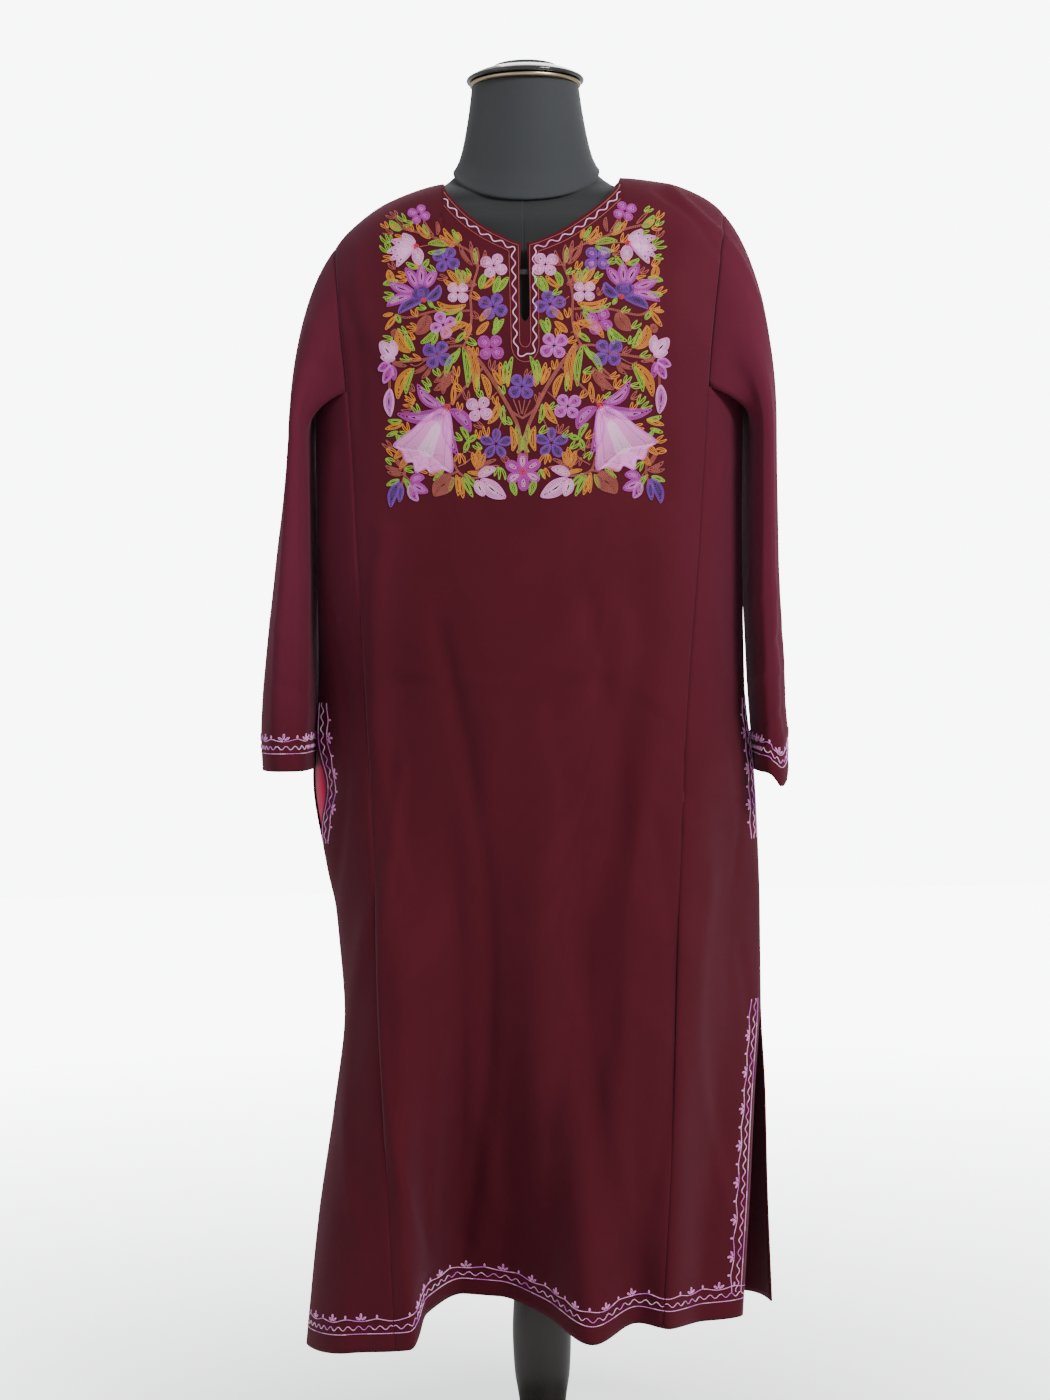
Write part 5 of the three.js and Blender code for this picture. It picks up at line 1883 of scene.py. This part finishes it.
def sew_border(stitching, edge_place, total, repeat, shift=0.0, nearer=0, spread=1):
    """A straight row, a wave and a scalloped vine with trefoils and buds, along an edge."""

    def place(points):
        inward = BORDER["straight"] - nearer + spread * (points[:, 1] - BORDER["straight"])
        return edge_place(np.stack([points[:, 0], inward], -1))

    count = max(1, round(total / repeat))
    repeat_length = total / count
    color = variegated("pale_pink", "white", "lilac", 47 + 3 * shift)
    ends = (1.0, total - 1.0)
    stitching.row(color, [(end, BORDER["straight"]) for end in ends], place, 0, 2.4, 1.1)
    s = np.linspace(*ends, max(8, int(total / 0.8)))
    wave = BORDER["wave"] + BORDER["swing"] * np.sin(2 * math.pi * s / (repeat_length / 3))
    stitching.row(color, np.stack([s, wave], -1), place, 0, 2.2, 1.1)
    vine = BORDER["vine"] - BORDER["hang"] * np.abs(np.cos(math.pi * s / repeat_length)) ** 1.5 + 2.2
    stitching.row(color, np.stack([s, vine], -1), place, 0, 2.3, 1.1)
    for k in range(count + 1):
        at = k * repeat_length
        if SPRIG["margin"] < at < total - SPRIG["margin"]:
            sew_sprig(stitching, place, color, at, BORDER["vine"] + 0.5, 3, SPRIG["trefoil"])
        if k < count:
            halfway = at + repeat_length / 2
            sew_sprig(stitching, place, color, halfway, BORDER["vine"] + 2, 1, SPRIG["bud"])


def sew_sprig(stitching, place, color, at, up, petals, size):
    """A trefoil or a single bud that stands on the vine."""
    for k in range(petals):
        angle = math.radians(90 + (k - (petals - 1) / 2) * SPRIG["spread"])
        rise = size * (0.72 + 0.28 * math.sin(angle)) * math.sin(angle) + size * 0.2
        tip = (at + size * math.cos(angle), up + rise)
        for _, row in leaf_rows((at, up), tip, SPRIG["width"], 0, "drop"):
            stitching.row(color, row, place, 0.05, 1.9, 1.1)


def sew_borders(stitching):
    gores = ("front_gore_left", "front_gore_right", "back_gore_left", "back_gore_right")
    for index, name in enumerate(("front_panel", "back_panel", *gores)):
        place, total = along_hem(CLOTH[name])
        sew_border(stitching, place, total, BORDER["repeat"], index)
        if name in gores:
            slit = (float(CLOTH[name].points[-1, -1, 2]) + 26, SIDE_SLIT_TOP)
            for low_edge, high_edge in (POCKET_MOUTH,) if name == gores[0] else (slit, POCKET_MOUTH):
                place, total = along_side(CLOTH[name], low_edge, high_edge)
                spread = 1.25 if low_edge == POCKET_MOUTH[0] else 1
                sew_border(stitching, place, total, BORDER["repeat"], index + 2, 11, spread)
    for index, name in enumerate(("sleeve_left", "sleeve_right")):
        place, total = along_hem(CLOTH[name])
        sew_border(stitching, place, total, BORDER["cuff_repeat"], index + 1)


class PheranSizes(bpy.types.PropertyGroup):
    """Sizes of the tunic's cloth."""

    thickness: bpy.props.FloatProperty(
        name="Cloth thickness",
        description="Thickness of the wool",
        default=0.002,
        min=0.001,
        max=0.003,
        unit="LENGTH",
    )


def color_property(name, description, default):
    return bpy.props.FloatVectorProperty(
        name=name, description=description, default=default, size=3, subtype="COLOR"
    )


class PheranColors(bpy.types.PropertyGroup):
    """Colours of the tunic, its thread and its form."""

    wool: color_property("Wool", "Colour of the wool", (0.063, 0.0015, 0.0080))
    lining: color_property("Lining", "Colour of the pocket bags", (0.62, 0.006, 0.085))
    cover: color_property("Form cover", "Colour of the form's cover", (0.019, 0.021, 0.024))
    lacquer: color_property("Cap", "Colour of the neck cap", (0.012, 0.011, 0.015))
    brass: color_property("Ring", "Colour of the ring under the cap", (0.5, 0.4, 0.26))
    wood: color_property("Stand", "Colour of the stand", (0.014, 0.010, 0.008))
    floor: color_property("Floor", "Colour of the floor", (0.8, 0.8, 0.8))


class BuildTunic(bpy.types.Operator):
    """Lays the wool of the body and the sleeves"""

    bl_idname = "pheran.tunic"
    bl_label = "Tunic"

    def execute(self, context):
        wool = wool_finish("maroon_wool", tuple(context.scene.pheran_colors.wool))
        thickness = context.scene.pheran_sizes.thickness
        for name, flat in FLATS.items():
            piece = replaced(name, "cloth", grid_bmesh(CLOTH[name]), wool, "wool", thickness)
            declare_sheet(CLOTH[name], flat)
        return {"FINISHED"}


class BuildPockets(bpy.types.Operator):
    """Hangs the lining bags inside the pocket mouths"""

    bl_idname = "pheran.pockets"
    bl_label = "Pocket bags"

    def execute(self, context):
        lining = lining_finish("red_lining", tuple(context.scene.pheran_colors.lining))
        for name, (side, flat) in BAG_FLATS.items():
            cloth = pocket_cloth(side)
            bm = ring_bmesh(cloth.points, cap_ends=False)
            end = [edge for edge in bm.edges if edge.is_boundary and edge_is_deep(edge)]
            bmesh.ops.holes_fill(bm, edges=end, sides=0)
            bmesh.ops.recalc_face_normals(bm, faces=bm.faces)
            piece = replaced("pocket_bag_" + name, "cloth", bm, lining, "pocket_lining", 0.0006)
            declare_sheet(cloth, flat)
        return {"FINISHED"}


def pocket_cloth(side, sides=32, rings=14):
    """A pocket bag's rings, from its mouth in the side seam inwards behind the front gore."""
    edge = 0 if side < 0 else 1
    grid = []
    angle = 2 * math.pi * np.arange(sides + 1) / sides
    for i in range(rings + 1):
        depth = i / rings
        at = edge - side * POCKET["depth"] * max(depth, 0.02)
        top = POCKET["top"] - POCKET["lower"] * depth
        bottom = POCKET["bottom"] - POCKET["drop"] * math.sqrt(depth)
        height = mix(bottom, top, 0.5 + 0.5 * np.cos(angle))
        forward = np.sign(np.sin(angle)) * np.sqrt(np.abs(np.sin(angle)))
        if i == 0:
            part = outline_on(side, "part", height)
            x = side * (FRONT.reach(side, height) - 3.1)
            if side < 0:
                x = x + mouth_pull(0, height) * (0.5 + 0.5 * forward)
            grid.append(np.stack([x, -forward * np.maximum(part - 2.6, 2), height], -1))
            continue
        inset = 2 + POCKET["inset"] + POCKET["thick"] / 2 * (1 - forward)
        ring = FRONT.skirt(at, height) + inward(np.full(height.shape, at), height) * inset[:, None]
        if side < 0:
            from_side = np.linalg.norm(FRONT.skirt(at, height) - FRONT.skirt(edge, height), axis=-1)
            ring[:, 0] += mouth_pull(from_side, height) * (0.5 + 0.5 * forward)
        grid.append(ring)
    points = np.array(grid)
    return Cloth(points, points - points.mean(axis=1, keepdims=True))


def inward(at, height):
    """The direction from the front sheet of the skirt into the garment."""
    across = FRONT.skirt(at + 0.004, height) - FRONT.skirt(at - 0.004, height)
    up = FRONT.skirt(at, height + 3) - FRONT.skirt(at, height - 3)
    normal = unit(np.cross(across, up))
    outward = FRONT.skirt(at, height) * np.array([0.4, 1, 0])
    return -normal * np.sign(np.sum(normal * outward, axis=-1, keepdims=True))


def edge_is_deep(edge):
    """Whether a rim edge of a pocket bag is at its closed end."""
    return all(abs(vert.co.x) < POCKET_DEEP for vert in edge.verts)


class SewFlowers(bpy.types.Operator):
    """Sews the flowers of the yoke and the rows round the neckline"""

    bl_idname = "pheran.flowers"
    bl_label = "Yoke flowers"

    def execute(self, context):
        graph = context.evaluated_depsgraph_get()
        front = BVHTree.FromObject(bpy.data.objects["front_panel_cloth"], graph)
        back = BVHTree.FromObject(bpy.data.objects["back_panel_cloth"], graph)
        stitching = Stitching()
        sew_yoke(stitching, on_front(front))
        sew_neckline(stitching, on_front(front), on_front(back, -1))
        stitching.pieces("yoke")
        return {"FINISHED"}


class SewBorders(bpy.types.Operator):
    """Sews the borders at the hem, the side slits, the pocket mouths and the cuffs"""

    bl_idname = "pheran.borders"
    bl_label = "Borders"

    def execute(self, context):
        stitching = Stitching()
        sew_borders(stitching)
        stitching.pieces("border")
        return {"FINISHED"}


def thread_material(color):
    """The thread's material, made once for each colour."""
    name = color + "_thread"
    return bpy.data.materials.get(name) or thread_finish(name, THREADS[color])


class BuildForm(bpy.types.Operator):
    """Covers the torso and the neck block"""

    bl_idname = "pheran.form"
    bl_label = "Dress form"

    def execute(self, context):
        colors = context.scene.pheran_colors
        cover = cover_finish("black_cotton", tuple(colors.cover))
        # Painted shade: the torso's cover is painted far darker than the neck's, for the shade deep
        # inside the neckline and slit
        deep = cover_finish("painted_shade_torso_cotton", shaded(colors.cover, TORSO_PAINTED_SHADE)[:3], 5)
        torso = form_rings(TORSO, form_heights(TORSO, 150), TORSO_SHARE)
        replaced("form_torso", "cover", ring_bmesh(torso), deep, "form_cover")
        neck = form_rings(NECK, form_heights(NECK, 60), 1, 0)
        replaced("form_neck", "cover", ring_bmesh(neck), cover, "form_cover")
        lacquer = lacquer_finish("black_lacquer", tuple(colors.lacquer))
        replaced("neck_cap", "turned", turned_bmesh(rounded(CAP, 4)), lacquer, "cap_lacquer")
        brass = brass_finish("dull_brass", tuple(colors.brass))
        replaced("cap_ring", "turned", turned_bmesh(CAP_RING), brass, "cap_metal")
        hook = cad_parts["neck_hook"]
        hook.data.materials.clear()
        hook.data.materials.append(thread_finish("black_hook", (0.012, 0.011, 0.014)))
        return {"FINISHED"}


class BuildStand(bpy.types.Operator):
    """Turns the column and its base"""

    bl_idname = "pheran.stand"
    bl_label = "Stand"

    def execute(self, context):
        wood = wood_finish("dark_wood", tuple(context.scene.pheran_colors.wood))
        for name, profile in (("stand_column", COLUMN), ("stand_base", BASE)):
            closed = [(0, profile[0][1]), *rounded(profile, 4), (0, profile[-1][1])]
            replaced(name, "turned", turned_bmesh(closed), wood, "stand_wood")
        return {"FINISHED"}


# The photograph's view: the camera's place, its tilt and roll, and its lens
CAMERA_PLACE = (-0.009, -2.6, 0.891)
CAMERA_PITCH = math.radians(90 - 1.41)
CAMERA_ROLL = math.radians(-0.77)
CAMERA_LENS = 62.5
# The lights: name, place, size and power, and what they are turned to
LIGHT_TARGET = (0, 0, 0.85)
LIGHTS = (
    ("key", (1.8, -2.1, 2.7), 0.9, 104),
    ("left_fill", (-2.4, -2.0, 1.7), 1.8, 10),
    ("rim", (0.6, 2.2, 2.6), 1.6, 30),
)


def aim(obj, place, target):
    obj.location = place
    obj.rotation_euler = (Vector(target) - Vector(place)).to_track_quat("-Z", "Y").to_euler()


class BuildStage(bpy.types.Operator):
    """Sets the floor, the lights and the camera"""

    bl_idname = "pheran.stage"
    bl_label = "Stage"

    def execute(self, context):
        scene = context.scene
        floor_finish = stage_finish("pale_glowing_floor", tuple(scene.pheran_colors.floor))
        bm = bmesh.new()
        bmesh.ops.create_grid(bm, x_segments=1, y_segments=1, size=FLOOR_HALF)
        floor = finished(bm, "floor", floor_finish)
        world = bpy.data.worlds.new("studio")
        world.use_nodes = True
        background = world.node_tree.nodes["Background"]
        background.inputs["Color"].default_value = WORLD_COLOR
        background.inputs["Strength"].default_value = WORLD_LIGHT
        tree = world.node_tree
        seen = tree.nodes.new("ShaderNodeBackground")
        seen.inputs["Color"].default_value = BACKDROP_COLOR
        seen.inputs["Strength"].default_value = BACKDROP_SEEN
        path = tree.nodes.new("ShaderNodeLightPath")
        both = tree.nodes.new("ShaderNodeMixShader")
        tree.links.new(path.outputs["Is Camera Ray"], both.inputs[0])
        tree.links.new(background.outputs[0], both.inputs[1])
        tree.links.new(seen.outputs[0], both.inputs[2])
        tree.links.new(both.outputs[0], tree.nodes["World Output"].inputs[0])
        scene.world = world
        for name, place, size, power in LIGHTS:
            light = bpy.data.lights.new(name, "AREA")
            light.size = size
            light.energy = power
            lamp = bpy.data.objects.new(name, light)
            scene.collection.objects.link(lamp)
            aim(lamp, place, LIGHT_TARGET)
        camera = bpy.data.cameras.new("camera")
        camera.lens = CAMERA_LENS
        camera.sensor_width = 36
        camera.clip_end = 50
        eye = bpy.data.objects.new("camera", camera)
        scene.collection.objects.link(eye)
        eye.matrix_world = (
            Matrix.Translation(CAMERA_PLACE)
            @ Matrix.Rotation(CAMERA_PITCH, 4, "X")
            @ Matrix.Rotation(CAMERA_ROLL, 4, "Z")
        )
        scene.camera = eye
        return {"FINISHED"}


class PheranPanel(bpy.types.Panel):
    """Lists what the script builds"""

    bl_idname = "VIEW3D_PT_pheran"
    bl_label = "Pheran"
    bl_space_type = "VIEW_3D"
    bl_region_type = "UI"
    bl_category = "Pheran"

    def draw(self, context):
        column = self.layout.column()
        for name in PheranColors.__annotations__:
            column.prop(context.scene.pheran_colors, name)
        column.prop(context.scene.pheran_sizes, "thickness")
        for operator in OPERATORS:
            column.operator(operator.bl_idname)


OPERATORS = (BuildTunic, BuildPockets, SewFlowers, SewBorders, BuildForm, BuildStand, BuildStage)
CLASSES = (PheranSizes, PheranColors, *OPERATORS, PheranPanel)


def register():
    for kind in CLASSES:
        bpy.utils.register_class(kind)
    bpy.types.Scene.pheran_sizes = bpy.props.PointerProperty(type=PheranSizes)
    bpy.types.Scene.pheran_colors = bpy.props.PointerProperty(type=PheranColors)


def unregister():
    del bpy.types.Scene.pheran_colors
    del bpy.types.Scene.pheran_sizes
    for kind in reversed(CLASSES):
        bpy.utils.unregister_class(kind)


def main():
    register()
    for operator in OPERATORS:
        group, name = operator.bl_idname.split(".")
        getattr(getattr(bpy.ops, group), name)()


if __name__ == "__main__":
    main()
